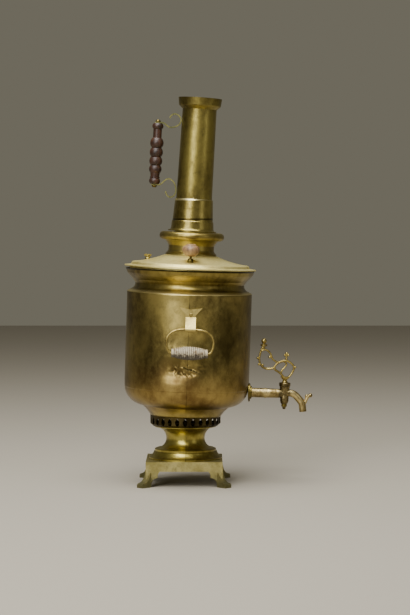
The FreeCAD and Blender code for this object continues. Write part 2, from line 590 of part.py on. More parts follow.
# Chimney pipe: a slightly tapered tube standing in the sleeve
PIPE_LOW = SLEEVE_TOP + " - pipe_foot"
PIPE_TOP = CHIMNEY_SEAT + " + pipe_high"
pipe = turned("chimney_pipe", [("pipe_radius - pipe_wall", PIPE_LOW), ("pipe_radius", PIPE_LOW),
                               ("pipe_top_radius", PIPE_TOP), ("pipe_top_radius - pipe_wall", PIPE_TOP)])
keep(pipe, "chimney_pipe", CHIMNEY)

# Chimney rim: an underside cone and an upright band round a straight bore
RIM_CONE = PIPE_TOP + " - 2"
BAND_LOW = RIM_CONE + " + rim_cone_high"
BAND_TOP = BAND_LOW + " + rim_band_high"
keep(turned("chimney_rim",
            [("pipe_top_radius + pipe_gap", RIM_CONE), ("rim_band_low - 1", BAND_LOW + " - 1"),
             ("rim_band_low", BAND_LOW + " + 1"),
             ("rim_band", BAND_TOP), ("rim_bore", BAND_TOP), ("rim_bore", BAND_LOW + " + rim_wall"),
             ("pipe_top_radius - pipe_wall", PIPE_TOP + " + 2"), ("pipe_top_radius - pipe_wall",
                                                                  PIPE_TOP + " + 0.1"),
             ("pipe_top_radius + pipe_gap", PIPE_TOP + " + 0.1")]),
     "chimney_rim", CHIMNEY)

# Chimney grip: turned wood with beads between two necks, on a rod with a nut at each end
BEADS = (19, 18, 17, 15)
END_LONG = 12
NECK_LONG = 10
grip_shape = [("rod_radius + rod_gap", GRIP_LOW), ("grip_end - 3", GRIP_LOW),
              ("grip_end - 3", GRIP_LOW + f" + {END_LONG}")]
grip_arcs = {1: (f"{END_LONG} * 0.62", -1)}
level = END_LONG
grip_shape += [("grip_neck + 1.5", GRIP_LOW + f" + {level}"), ("grip_neck + 1.5",
                                                               GRIP_LOW + f" + {level + 2}"),
               ("grip_neck", GRIP_LOW + f" + {level + 2}"), ("grip_neck + 1",
                                                             GRIP_LOW + f" + {level + NECK_LONG}")]
level += NECK_LONG
for bead in reversed(BEADS):
    grip_arcs[len(grip_shape) - 1] = (f"{bead} * 0.72", -1)
    level += bead
    grip_shape.append(("grip_neck + 1", GRIP_LOW + f" + {level}"))
grip_shape += [("grip_neck", GRIP_LOW + f" + {level + 1}"), ("grip_neck", "%s + grip_long - %d" % (GRIP_LOW,
                                                                                                   END_LONG)),
               ("grip_end - 3", "%s + grip_long - %d" % (GRIP_LOW, END_LONG)),
               ("grip_end - 3", GRIP_LOW + " + grip_long"),
               ("rod_radius + rod_gap", GRIP_LOW + " + grip_long")]
grip_arcs[len(grip_shape) - 3] = (f"{END_LONG} * 0.62", -1)
grip_spot = CHIMNEY * at("-grip_place")
keep(turned("chimney_grip", grip_shape, grip_arcs), "chimney_grip", grip_spot)
ROD_LOW = GRIP_LOW + " - strip_thick - 0.2"
ROD_TOP = GRIP_LOW + " + grip_long + strip_thick + 0.2"
keep(turned("grip_rod", [("0", ROD_LOW + " - rod_nut_high"), ("rod_nut_radius * 0.6",
                                                              ROD_LOW + " - rod_nut_high"),
                         ("rod_nut_radius", ROD_LOW + " - 1"), ("rod_nut_radius", ROD_LOW),
                         ("rod_radius", ROD_LOW),
                         ("rod_radius", ROD_TOP), ("rod_nut_radius", ROD_TOP),
                         ("rod_nut_radius", ROD_TOP + " + 1"),
                         ("rod_nut_radius * 0.6", ROD_TOP + " + rod_nut_high"),
                         ("0", ROD_TOP + " + rod_nut_high")]),
     "grip_rod", grip_spot)

# Scroll strips: each leaves the grip's end, bends to the pipe and curls back
STRIP_WALL = "pipe_top_radius + strip_thick / 2 + 0.4"
UPPER = GRIP_LOW + " + grip_long + strip_thick / 2 + 0.1"
LOWER = GRIP_LOW + " - strip_thick / 2 - 0.1"
upper_points = [("-grip_place + 7.5", UPPER), ("-grip_place + 11.5", UPPER + " - 0.6"),
                ("-grip_place + 21", UPPER + " - 7"),
                ("-grip_place + 33", UPPER + " - 7"), (f"-({STRIP_WALL}) - 3", UPPER + " - 1"),
                (f"-({STRIP_WALL})", UPPER + " + 6"), (f"-({STRIP_WALL}) - 3.5", UPPER + " + 14.5"),
                (f"-({STRIP_WALL}) - 12", UPPER + " + 19"), (f"-({STRIP_WALL}) - 20", UPPER + " + 15.5"),
                (f"-({STRIP_WALL}) - 22", UPPER + " + 10")]
LOW_WALL = "pipe_radius + strip_thick / 2 + 0.2"
lower_points = [("-grip_place + 7.5", LOWER), ("-grip_place + 11.5", LOWER + " + 0.8"),
                ("-grip_place + 18", LOWER + " + 7"),
                ("-grip_place + 27", LOWER + " + 13"), (f"-({LOW_WALL}) - 6", LOWER + " + 8"),
                (f"-({LOW_WALL}) - 1", LOWER + " - 2"), (f"-({LOW_WALL})", LOWER + " - 12"),
                (f"-({LOW_WALL}) - 3.5", LOWER + " - 20"), (f"-({LOW_WALL}) - 11.5", LOWER + " - 23"),
                (f"-({LOW_WALL}) - 18", LOWER + " - 18"), (f"-({LOW_WALL}) - 20", LOWER + " - 12")]
for side, points, middle in (("upper", upper_points, UPPER), ("lower", lower_points, LOWER)):
    strip = strip_along(side + "_strip_bend", points)
    lug = primitive("Box", side + "_strip_lug", at("-grip_place - 6", "-strip_width / 2",
                                                   middle + " - strip_thick / 2"),
                    Length="15", Width="strip_width", Height="strip_thick")
    eye = primitive("Cylinder", side + "_strip_eye", at("-grip_place", 0, GRIP_LOW + " - 20"),
                    Radius="rod_radius + rod_gap", Height="grip_long + 40")
    whole = joined(side + "_strip_whole", [strip, lug])
    keep(cut_by(side + "_strip_cut", whole, eye), side + "_strip", CHIMNEY)

# Drop handles: a fishtail plate and strap on the wall, a wire bail and a barrel grip
PLATE_OUT = "body_radius + fish_thick"
PIVOT_OUT = "body_radius + pivot_out"
EYE_RADIUS = "wire_radius + wire_fit + eye_wall"


def bracket(side):
    """The plate, its lug, the strap that stands off the wall and the eye at the strap's end."""
    plate = new_body(side + "_fishtail")
    lying = FreeCAD.Placement(FreeCAD.Vector(0, 0, size("body_radius - 6")), FreeCAD.Rotation())
    pad(plate, side + "_fish",
        [("-fish_half", "fish_top"), ("-fish_waist", "fish_top - fish_high"),
         ("-fish_waist", "strap_top - 2"),
         ("fish_waist", "strap_top - 2"), ("fish_waist", "fish_top - fish_high"), ("fish_half", "fish_top"),
         ("0", "fish_top - fish_notch")],
        "6 + fish_thick", both=False, offset=lying)
    strap = new_body(side + "_strap")
    pad(strap, side + "_strap_slab",
        [(f"-({PLATE_OUT}) + 0.5", "strap_top - 2"), (f"-({PLATE_OUT}) + 0.5", "strap_top + 2"),
         (f"-({PLATE_OUT}) - strap_thick + 1", "strap_top + 2"),
         (f"-({PIVOT_OUT}) - wire_radius - wire_fit - eye_wall", "pivot_high"),
         (f"-({PIVOT_OUT}) - wire_radius - wire_fit - eye_wall + strap_thick", "pivot_high")],
        "strap_half * 2", plane="YZ_Plane")
    eye = primitive("Cylinder", side + "_eye", at("-strap_half", f"-({PIVOT_OUT})",
                                                  "pivot_high") * turn_about((0, 1, 0), 90),
                    Radius=EYE_RADIUS, Height="strap_half * 2")
    whole = joined(side + "_bracket_whole", [plate, strap, eye])
    bore = primitive("Cylinder", side + "_bore", at("-30", f"-({PIVOT_OUT})", "pivot_high") * turn_about((0,
                                                                                                          1,
                                                                                                          0), 90),
                     Radius="wire_radius + wire_fit", Height="60")
    round_wall = primitive("Cylinder", side + "_wall_shape", at("-handle_shift", 0, "fish_top - 90"),
                           Radius="body_radius + 0.05", Height="150")
    return cut_by(side + "_bracket_cut", whole, joined(side + "_bracket_tools", [bore, round_wall]))


def bail(side):
    """The wire: straight in the eye and in the grip, bent round on both sides."""
    low = "pivot_high - bail_drop"
    bend = [("bail_flat", "pivot_high"), ("bail_half - 12", "pivot_high - 4.5"),
            ("bail_half", "pivot_high - 19"),
            ("bail_half - 2.5", "pivot_high - 34"), ("hand_long / 2", low)]
    right = wire_along(side + "_bail_right", bend, "wire_radius", (1, 0), (-1, 0))
    left = doc.addObject("Part::Mirroring", side + "_bail_left")
    left.Source = right
    left.Normal = FreeCAD.Vector(1, 0, 0)
    top = primitive("Cylinder", side + "_bail_top", at("-bail_flat", 0, "pivot_high") * turn_about((0, 1,
                                                                                                    0), 90),
                    Radius="wire_radius", Height="bail_flat * 2")
    foot = primitive("Cylinder", side + "_bail_foot", at("-hand_long / 2", 0, low) * turn_about((0, 1, 0),
                                                                                                90),
                     Radius="wire_radius", Height="hand_long")
    return joined(side + "_bail_whole", [right, left, top, foot])


GRIP_CLEAR = "wire_radius + wire_fit"
HALF = "hand_long / 2"
HAND = [(GRIP_CLEAR, f"-{HALF} + 1"), ("hand_collar - 1", f"-{HALF} + 1"), ("hand_collar", f"-{HALF} + 2"),
        ("hand_collar", f"-{HALF} + hand_collar_long"), ("hand_barrel_end",
                                                         f"-{HALF} + hand_collar_long + 1"),
        ("hand_barrel_end", f"{HALF} - hand_collar_long - 1"),
        ("hand_collar", f"{HALF} - hand_collar_long"),
        ("hand_collar", f"{HALF} - 2"), ("hand_collar - 1", f"{HALF} - 1"), (GRIP_CLEAR, f"{HALF} - 1")]
BARREL_HALF = f"({HALF} - hand_collar_long - 1)"
BARREL_RISE = "(hand_radius - hand_barrel_end)"
BARREL_CURVE = f"({BARREL_HALF} * {BARREL_HALF} + {BARREL_RISE} * {BARREL_RISE}) / (2 * {BARREL_RISE})"
for side, place in (("front", FRONT), ("back", BACK)):
    spot = place * at("handle_shift")
    keep(bracket(side), side + "_bracket", spot)
    keep(bail(side), side + "_bail", spot * at(0, f"-({PIVOT_OUT})"))
    grip_axis = spot * at(0, f"-({PIVOT_OUT})", "pivot_high - bail_drop") * turn_about((0, 1, 0), 90)
    keep(turned(side + "_grip", HAND, {4: (BARREL_CURVE, -1)}), side + "_grip", grip_axis)
rivets = []
for side, place in (("front", LEVEL), ("back", turn_about((0, 0, 1), 180))):
    head = primitive("Cone", side + "_rivet", place * at("handle_shift", f"-({PLATE_OUT})",
                                                         "strap_top + 6.5") *
                     turn_about((1, 0, 0), 90), Radius1="rivet_radius", Radius2="rivet_radius * 0.5",
                     Height="rivet_high")
    rivets.append(head)
group = doc.addObject("Part::Compound", "rivets")
group.Links = rivets
doc.recompute()
keep(group, "handle_rivets", VESSEL)

# Tap rose: a stepped disc on the wall round the inlet pipe
LYING = turn_about((0, 1, 0), 90)
TAP_AXIS = at(0, 0, "tap_high") * LYING
rose = turned("rose_disc", [("tap_radius + rose_fit", "body_radius - 4"),
                            ("rose_radius", "body_radius - 4"),
                            ("rose_radius", "body_radius + rose_thick - 1"),
                            ("rose_radius - 2", "body_radius + rose_thick"),
                            ("rose_step", "body_radius + rose_thick"),
                            ("rose_step", "body_radius + rose_thick + rose_step_thick - 1"),
                            ("rose_step - 1.5", "body_radius + rose_thick + rose_step_thick"),
                            ("tap_radius + rose_fit", "body_radius + rose_thick + rose_step_thick")])
rose.Placement = TAP_AXIS
round_wall = primitive("Cylinder", "rose_wall_shape", at(high="tap_high - 40"), Radius="body_radius + 0.05",
                       Height="80")
keep(cut_by("rose", rose, round_wall), "tap_rose", VESSEL)

# Tap body: the inlet pipe, the upright housing, the bent spout and its leaf, bored through
inlet = turned("inlet_pipe", [("0", "body_radius + 0.3"), ("tap_radius", "body_radius + 0.3"),
                              ("tap_radius", "tap_ring_place"), ("tap_ring_radius", "tap_ring_place"),
                              ("tap_ring_radius", "tap_ring_place + tap_ring_wide"),
                              ("tap_radius", "tap_ring_place + tap_ring_wide"),
                              ("tap_radius - 0.6", "tap_reach - 10"), ("tap_radius - 1.5", "tap_reach"),
                              ("0", "tap_reach")])
inlet.Placement = TAP_AXIS
house = turned("plug_house", [("0", "house_foot"), ("house_foot_radius", "house_foot"),
                              ("house_low", "house_foot + 5"),
                              ("house_low", "house_low_high"), ("house_waist", "house_waist_high"),
                              ("house_collar - 1", "house_top - house_collar_high"),
                              ("house_collar", "house_top - house_collar_high + 1"),
                              ("house_collar", "house_top - 1"), ("house_collar - 1", "house_top"),
                              ("0", "house_top")])
house.Placement = at("tap_reach")
OUT = "tap_reach + spout_reach"
MOUTH = "tap_high - spout_drop"
SPOUT = [("tap_reach + 4", "tap_high + 1"), ("tap_reach + 20", "tap_high - 1.5"),
         ("tap_reach + 31", "tap_high - 12"),
         (OUT, MOUTH + " + outlet_long")]
spout = wire_along("spout_bend", SPOUT, "spout_radius", (1, 0.15), (0.12, -1))
mouth_place = at(OUT, 0, MOUTH + " + outlet_long")
mouth_turn = FreeCAD.Rotation(FreeCAD.Vector(0, 0, 1), FreeCAD.Vector(0.12, 0, -1))
mouth = primitive("Cylinder", "spout_mouth", FreeCAD.Placement(mouth_place.Base, mouth_turn),
                  Radius="spout_radius",
                  Height="outlet_long")
leaf = wire_along("leaf", [(OUT + " + 1", "tap_high - 22"), (OUT + " + 6", "tap_high - 14"),
                           (OUT + " + 11", "tap_high - 4"),
                           (OUT + " + 15", "tap_high - 1.5")], "scroll_wire + 1")
leaf_tip = primitive("Sphere", "leaf_tip", at(OUT + " + 15", 0, "tap_high - 2"), Radius="scroll_wire + 2")
leaf_side = primitive("Sphere", "leaf_side", at(OUT + " + 8", 0, "tap_high - 3.5"),
                      Radius="scroll_wire + 1.4")
leaf_arm = wire_along("leaf_arm", [(OUT + " + 7.5", "tap_high - 12"), (OUT + " + 7", "tap_high - 8"),
                                   (OUT + " + 8", "tap_high - 3.5")],
                      "scroll_wire + 0.2")
tap_whole = joined("tap_whole", [inlet, house, spout, mouth, leaf, leaf_tip, leaf_arm, leaf_side])
PLUG_SLOPE = "(plug_top - plug_foot) / (house_top - house_foot)"
seat = primitive("Cone", "plug_seat", at("tap_reach", 0, "house_foot - 1"),
                 Height="house_top - house_foot + 2",
                 Radius1=f"plug_foot + plug_fit - {PLUG_SLOPE}",
                 Radius2=f"plug_top + plug_fit + {PLUG_SLOPE}")
inlet_bore = primitive("Cylinder", "inlet_bore", at("body_radius - 2", 0, "tap_high") * LYING,
                       Radius="tap_bore",
                       Height="tap_reach - body_radius - 4")
near_bore = primitive("Cylinder", "near_bore", at("tap_reach - 8", 0, "tap_high") * LYING,
                      Radius="plug_hole", Height="14")
BORE = [("tap_reach + 2", "tap_high + 0.7")] + SPOUT[1:]
spout_bore = wire_along("spout_bore", BORE, "plug_hole", (1, 0.1), (0.12, -1))
outlet = primitive("Cylinder", "outlet", FreeCAD.Placement(mouth_place.Base, mouth_turn),
                   Radius="spout_bore",
                   Height="outlet_long + 1")
bores = joined("tap_bores", [seat, inlet_bore, near_bore, spout_bore, outlet])
keep(cut_by("tap_bored", tap_whole, bores), "tap_body", VESSEL)

# Tap key: a tapered plug with a cross hole, a stem, a cup and an openwork handle of scrolls
KEY_FOOT = "house_top"
plug = turned("plug_shape", [("0", "house_foot - plug_rest"), ("plug_foot", "house_foot - plug_rest"),
                             ("plug_top", "house_top - plug_rest"), ("plug_top", KEY_FOOT + " + 0.5"),
                             ("key_stem", KEY_FOOT + " + 1.5"), ("key_stem - 1.2", KEY_FOOT + " + 4"),
                             ("key_stem", KEY_FOOT + " + key_cup_low"),
                             ("key_cup - 1.5", KEY_FOOT + " + key_cup_low + 1"),
                             ("key_cup", KEY_FOOT + " + key_cup_high - 1"),
                             ("key_cup", KEY_FOOT + " + key_cup_high"),
                             ("0", KEY_FOOT + " + key_cup_high")])
cross = primitive("Cylinder", "plug_cross", at(0, "30", "tap_high") * turn_about((1, 0, 0), 90),
                  Radius="plug_hole", Height="60")
plug_cut = cut_by("plug_bored", plug, cross)
SCROLLS = {
    "far_loop": [(-45, 73), (-49.5, 63), (-52, 54), (-52, 40), (-44, 29), (-34, 26.5), (-25, 28.5),
                 (-18, 35), (-13.5, 42)],
    "near_loop": [(-2, 9.5), (-9, 17.5), (-15, 22), (-21.5, 27), (-20, 34), (-13, 40), (-4, 43.5),
                  (4, 43.5), (11, 39.5),
                  (17, 32), (15.5, 23.5), (11, 16), (6, 9.5)],
}
CURLS = {
    "far_curl": [(-48.5, 62), (-40.5, 64.6), (-33.5, 60.5), (-29.2, 54), (-26, 46.5), (-19, 41.5),
                 (-15.5, 38.5)],
    "near_curl": [(-8, 41.5), (-1.5, 41.5), (1.8, 37.5), (-1.2, 31), (-6, 25.5), (-8, 18)],
}
BALLS = {
    "far_nub": (-55.5, 47.5, 2.8), "low_nub": (-53, 35, 2.6), "inner_nub": (-45.5, 34, 2.4),
    "curl_end": (-31.8, 50.5, 3.0),
    "near_nub": (19.5, 31.5, 2.6), "finial_top": (1.5, 58.5, 2.8), "finial_left": (-1.8, 55, 2.5),
    "finial_right": (5, 55.5, 2.5),
}
key_pieces = [plug_cut]
for scrolls, radius in ((SCROLLS, "scroll_wire"), (CURLS, "scroll_wire - 0.3")):
    for name, points in scrolls.items():
        key_pieces.append(wire_along(name, [(str(x), f"{KEY_FOOT} + {z}") for x, z in points], radius))
for name, (x, z, radius) in BALLS.items():
    key_pieces.append(primitive("Sphere", name, at(str(x), 0, f"{KEY_FOOT} + {z}"), Radius=str(radius)))
key_pieces.append(primitive("Cylinder", "key_collar", at("-key_ball_out", 0, KEY_FOOT + " + 72"),
                            Radius="key_collar", Height="3.6"))
key_pieces.append(primitive("Cylinder", "key_neck", at("-key_ball_out", 0, KEY_FOOT + " + 66"),
                            Radius="scroll_wire + 0.8", Height="16"))
key_pieces.append(primitive("Cylinder", "finial_stem", at(1.5, 0, KEY_FOOT + " + 42"),
                            Radius="scroll_wire + 0.1", Height="15"))
key_pieces.append(primitive("Sphere", "key_ball", at("-key_ball_out", 0, KEY_FOOT + " + key_ball_high"),
                            Radius="key_ball"))
keep(joined("tap_key_whole", key_pieces), "tap_key", VESSEL * at("tap_reach"))

# Washer and tip: what holds the plug down, below the housing
WASHER_TOP = "house_foot - plug_rest"
keep(turned("plug_washer", [("0", WASHER_TOP + " - washer_high"),
                            ("washer_radius - 0.5", WASHER_TOP + " - washer_high"),
                            ("washer_radius", WASHER_TOP + " - washer_high + 1"),
                            ("washer_radius", WASHER_TOP + " - 0.5"),
                            ("washer_radius - 0.5", WASHER_TOP), ("0", WASHER_TOP)]), "plug_washer",
                            VESSEL * at("tap_reach"))
TIP_TOP = WASHER_TOP + " - washer_high"
keep(turned("plug_tip", [("0", TIP_TOP + " - tip_high"), ("tip_radius - 1.2", TIP_TOP + " - tip_high"),
                         ("tip_radius", TIP_TOP + " - tip_high + 1.5"), ("tip_radius", TIP_TOP),
                         ("0", TIP_TOP)]),
     "plug_tip", VESSEL * at("tap_reach"))

# Check every object, then write one file for each piece
doc.recompute()
for thing in doc.Objects:
    assert not {"Invalid", "Error"} & set(thing.State), thing.Label
for node in nodes:
    assert not node.Shape.isNull() and node.Shape.isValid(), node.Label
    assert node.Shape.Volume > 1, node.Label
os.makedirs("parts", exist_ok=True)
for node in nodes:
    node.Shape.exportStep(os.path.join("parts", node.Label + ".step"))
    print(node.Label, len(node.Shape.Solids), round(node.Shape.Volume))
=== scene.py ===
"""The looks of the charcoal samovar: aged brass, turned wood, a dented vessel wall and worn grips."""

import json
import logging
import math
from dataclasses import dataclass
from enum import Enum
from functools import cached_property
from typing import Any, Optional, Sequence

import bmesh
import bpy
from mathutils import Matrix, Vector, noise

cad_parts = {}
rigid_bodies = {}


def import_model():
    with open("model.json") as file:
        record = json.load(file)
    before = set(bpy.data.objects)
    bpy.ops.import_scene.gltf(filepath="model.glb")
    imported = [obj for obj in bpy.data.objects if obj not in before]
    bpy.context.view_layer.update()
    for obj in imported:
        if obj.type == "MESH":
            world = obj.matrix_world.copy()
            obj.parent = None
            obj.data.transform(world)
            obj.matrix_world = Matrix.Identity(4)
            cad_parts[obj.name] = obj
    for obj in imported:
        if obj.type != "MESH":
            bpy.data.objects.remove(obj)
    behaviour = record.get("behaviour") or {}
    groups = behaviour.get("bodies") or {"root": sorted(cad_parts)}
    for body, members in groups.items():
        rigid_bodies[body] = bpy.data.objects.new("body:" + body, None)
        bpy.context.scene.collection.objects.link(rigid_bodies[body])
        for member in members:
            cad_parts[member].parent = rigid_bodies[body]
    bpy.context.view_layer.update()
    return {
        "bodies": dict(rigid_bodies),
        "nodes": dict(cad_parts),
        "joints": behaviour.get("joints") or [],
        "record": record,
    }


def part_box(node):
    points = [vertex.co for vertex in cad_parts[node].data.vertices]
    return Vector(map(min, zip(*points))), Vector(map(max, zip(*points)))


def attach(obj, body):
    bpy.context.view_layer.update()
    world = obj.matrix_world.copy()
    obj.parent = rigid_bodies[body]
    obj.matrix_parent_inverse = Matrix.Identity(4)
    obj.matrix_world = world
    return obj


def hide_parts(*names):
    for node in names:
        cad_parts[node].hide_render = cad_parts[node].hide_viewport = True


LOG = logging.getLogger("samovar")
PHOTO_HIGH = 615
MM = 0.001
# Vertices closer than this are one
WELD = 1e-6
ORIGIN = (0.0, 0.0, 0.0)
ALONG_X = (1.0, 0.0, 0.0)
ALONG_Z = (0.0, 0.0, 1.0)
EVEN = (1.0, 1.0, 1.0)
# The vessel leans towards the tap, from the top of the pedestal up
LEAN_DEGREES = 1.9
LEAN_SLOPE = math.tan(math.radians(LEAN_DEGREES))
LEAN_FROM = 136 * MM

Colour = tuple[float, float, float, float]
Triple = tuple[float, float, float]


class Slot(Enum):
    """The record's material slots, one named with each new piece."""

    VESSEL = "vessel_brass"
    BRIGHT = "bright_brass"
    PAINT = "painted_wood"
    KNOB = "knob_wood"


class Side(Enum):
    """The two sides that carry a drop handle and a lid knob."""

    FRONT = "front"
    BACK = "back"


class Coat(Enum):
    """The finishes, by the part of the object that each was matched on."""

    VESSEL = "vessel"
    NECK = "neck"
    LID = "lid"
    STEM = "stem"
    GALLERY = "gallery"
    CAST = "cast"
    BRIGHT = "bright"
    TAP = "tap"
    KEY = "key"
    DARK = "dark"
    STRIP = "strip"
    CROWN = "crown"
    CHIMNEY = "chimney"
    SLEEVE = "sleeve"
    SOOT = "soot"
    WOOD = "wood"
    KNOB = "knob"
    PAINT = "paint"
    IRON = "iron"


def linear(hex_colour: str) -> Colour:
    """Turn an sRGB hex colour to linear.

    Args:
        hex_colour: six hex digits after a hash mark.

    Returns:
        The linear red, green and blue, and an alpha of one.
    """
    parts = [int(hex_colour[i:i + 2], 16) / 255 for i in (1, 3, 5)]
    lin = [p / 12.92 if p <= 0.04045 else ((p + 0.055) / 1.055) ** 2.4 for p in parts]
    return (lin[0], lin[1], lin[2], 1.0)


class Shading:
    """A material while its nodes are laid out."""

    def __init__(self, name: str) -> None:
        """Start a material.

        Args:
            name: the material's name.
        """
        self.material = bpy.data.materials.new(name)
        self.material.use_nodes = True
        self.tree = self.material.node_tree
        self.shader = next(n for n in self.tree.nodes if n.type == "BSDF_PRINCIPLED")

    @cached_property
    def place(self) -> bpy.types.NodeSocket:
        """The object's own coordinates."""
        return self.add("TexCoord").outputs["Object"]

    def feed(self, node: bpy.types.Node, inputs: dict[Any, Any]) -> None:
        """Set a node's inputs.

        Args:
            node: the node.
            inputs: socket name or number to a value, an output socket, or a node whose first live output is meant.
        """
        for key, value in inputs.items():
            if isinstance(value, bpy.types.Node):
                value = next(out for out in value.outputs if out.enabled)
            if isinstance(value, bpy.types.NodeSocket):
                self.tree.links.new(value, node.inputs[key])
            else:
                node.inputs[key].default_value = value

    def add(self, kind: str, inputs: Optional[dict[Any, Any]] = None, stops: Sequence[tuple[float, float]] = (),
            **settings: Any) -> bpy.types.Node:
        """Add a node with its settings, values and links.

        Args:
            kind: the node's type name after "ShaderNode".
            inputs: what feed() takes.
            stops: (place, grey) pairs, on a colour ramp.
            settings: the node's own properties.

        Returns:
            The new node.
        """
        made = self.tree.nodes.new("ShaderNode" + kind)
        for key, value in settings.items():
            setattr(made, key, value)
        self.feed(made, inputs or {})
        for _ in stops[2:]:
            made.color_ramp.elements.new(0.5)
        for number, (place, grey) in enumerate(stops):
            made.color_ramp.elements[number].position = place
            made.color_ramp.elements[number].color = (grey, grey, grey, 1.0)
        return made

    def clouds(self, size: float, detail: float, rough: float, stretch: Triple = EVEN,
               offset: float = 0.0) -> bpy.types.Node:
        """Cloudy patches on the object's own coordinates.

        Args:
            size: a cloud's size in metres.
            detail: octaves.
            rough: how strong the fine octaves are.
            stretch: factors on the three axes; under one draws the clouds out.
            offset: a shift that gives another field.

        Returns:
            The grey pattern.
        """
        spot = self.add("Mapping", {"Vector": self.place, "Scale": stretch, "Location": (offset, offset, offset)})
        return self.add("TexNoise", {"Vector": spot, "Scale": 1 / size, "Detail": detail, "Roughness": rough})


@dataclass(frozen=True)
class BrassFinish:
    """Old unlacquered brass: bright metal that has browned in clouds, with fine scratches and spots."""

    name: str
    bright: str = "#bfac66"
    brown: str = "#685b34"
    deep: str = "#2c2412"
    rough: float = 0.34
    rough_span: float = 0.16
    cloud: float = 71.4 * MM
    brown_from: float = 0.42
    brown_to: float = 0.6
    deep_amount: float = 0.6
    dents: float = 0.25
    grain: float = 0.12
    metal: float = 1.0
    streaks: Triple = (1.0, 1.0, 0.45)

    def marks(self, shading: Shading, colour: bpy.types.Node) -> bpy.types.Node:
        """The colour with the piece's own marks, of which plain brass has none."""
        return colour

    def build(self) -> bpy.types.Material:
        """Make the material.

        Returns:
            The finished material.
        """
        shading = Shading(self.name)
        # Tarnish clouds a few centimetres across, drawn out upright as they run
        broad = shading.clouds(self.cloud, 6, 0.62, self.streaks)
        fine = shading.clouds(self.cloud / 7, 5, 0.7, (1.0, 1.0, 0.85), 3.1)
        blend = shading.add("Mix", {0: 0.25, 6: broad, 7: fine}, data_type="RGBA")
        browned = shading.add("ValToRGB", {0: blend}, ((self.brown_from, 0.0), (self.brown_to, 1.0)))
        colour = shading.add("Mix", {0: browned, 6: linear(self.bright), 7: linear(self.brown)}, data_type="RGBA")
        # Dark spots and smears of a few millimetres
        smears = shading.clouds(self.cloud / 3.2, 8, 0.72, (1.0, 1.0, 0.8), 7.7)
        spots = shading.add("ValToRGB", {0: smears}, ((0.56, 0.0), (0.72, 1.0)))
        dark = shading.add("Math", {0: spots, 1: self.deep_amount}, operation="MULTIPLY")
        colour = shading.add("Mix", {0: dark, 6: colour, 7: linear(self.deep)}, data_type="RGBA")
        # Browned metal is duller than bright metal
        dull = shading.add("Math", {0: blend, 1: self.rough_span * 2, 2: self.rough - self.rough_span},
                           operation="MULTIPLY_ADD")
        # Hand-beaten waves 45 mm long, and a fine tooth of 1.4 mm, drawn coarse enough to spread the highlights
        beaten = shading.clouds(45.45 * MM, 2, 0.4, (1.0, 1.0, 0.5), 1.3)
        waves = shading.add("Bump", {"Strength": self.dents, "Distance": 4 * MM, "Height": beaten})
        tooth = shading.add("Bump", {"Strength": self.grain, "Distance": 0.6 * MM, "Normal": waves,
                                     "Height": shading.clouds(1.4286 * MM, 3, 0.6)})
        shading.feed(shading.shader, {"Base Color": self.marks(shading, colour), "Metallic": self.metal,
                                      "Roughness": dull, "Normal": tooth})
        return shading.material


@dataclass(frozen=True)
class SeamedBrass(BrassFinish):
    """Brass sheet rolled to a shell: its brazed seam is a dark upright line at the front."""

    seam: str = "#2a1e0e"
    seam_off: float = 3.5 * MM
    wander: float = 2 * MM

    def marks(self, shading: Shading, colour: bpy.types.Node) -> bpy.types.Node:
        """Draw the seam.

        Args:
            shading: the material.
            colour: the colour so far.

        Returns:
            The colour with the seam.
        """
        split = shading.add("SeparateXYZ", {0: shading.place})
        # The seam is upright on the pedestal and leans with the vessel above it
        over = shading.add("Math", {0: split.outputs[2], 1: LEAN_FROM}, operation="SUBTRACT")
        above = shading.add("Math", {0: over, 1: 0.0}, operation="MAXIMUM")
        lean = shading.add("Math", {0: above, 1: -LEAN_SLOPE, 2: -self.seam_off}, operation="MULTIPLY_ADD")
        sway = shading.add("Math", {0: shading.clouds(33.33 * MM, 3, 0.5), 1: self.wander, 2: -self.wander / 2},
                           operation="MULTIPLY_ADD")
        shift = shading.add("Math", {0: lean, 1: sway}, operation="ADD")
        across = shading.add("Math", {0: split.outputs[0], 1: shift}, operation="ADD")
        off = shading.add("Math", {0: across}, operation="ABSOLUTE")
        # Full within 0.5 mm of the line and gone at 1.1 mm
        scaled = shading.add("Math", {0: off, 1: 400.0}, operation="MULTIPLY")
        near = shading.add("ValToRGB", {0: scaled}, ((0.2, 1.0), (0.45, 0.0)))
        front = shading.add("Math", {0: split.outputs[1], 1: 0.0}, operation="LESS_THAN")
        seen = shading.add("Math", {0: near, 1: front}, operation="MULTIPLY")
        worn = shading.add("ValToRGB", {0: shading.clouds(41.67 * MM, 3, 0.6, EVEN, 11.0)}, ((0.4, 0.15), (0.62, 0.7)))
        share = shading.add("Math", {0: seen, 1: worn}, operation="MULTIPLY")
        return shading.add("Mix", {0: share, 6: colour, 7: linear(self.seam)}, data_type="RGBA")


@dataclass(frozen=True)
class Blot:
    """A darker field, of tarnish and painted shade, with a ragged, soft edge: its middle and half sizes in metres, and
    its strength.
    """

    middle: Triple
    halves: Triple
    amount: float

    def share(self, shading: Shading) -> bpy.types.Node:
        """How much of the field lies at each place.

        Args:
            shading: the material.

        Returns:
            The field's share.
        """
        scale = tuple(1 / half for half in self.halves)
        shift = tuple(-spot / half for spot, half in zip(self.middle, self.halves))
        local = shading.add("Mapping", {"Vector": shading.place, "Scale": scale, "Location": shift})
        reach = shading.add("VectorMath", {0: local}, operation="LENGTH").outputs["Value"]
        cloud = shading.clouds(22.22 * MM, 6, 0.7, (1.0, 1.0, 0.7), self.middle[0] * 50)
        ragged = shading.add("Math", {0: cloud, 1: 1.6, 2: reach}, operation="MULTIPLY_ADD")
        scaled = shading.add("Math", {0: ragged, 1: 0.5}, operation="MULTIPLY")
        return shading.add("ValToRGB", {0: scaled}, ((0.55, self.amount), (0.98, 0.0)))


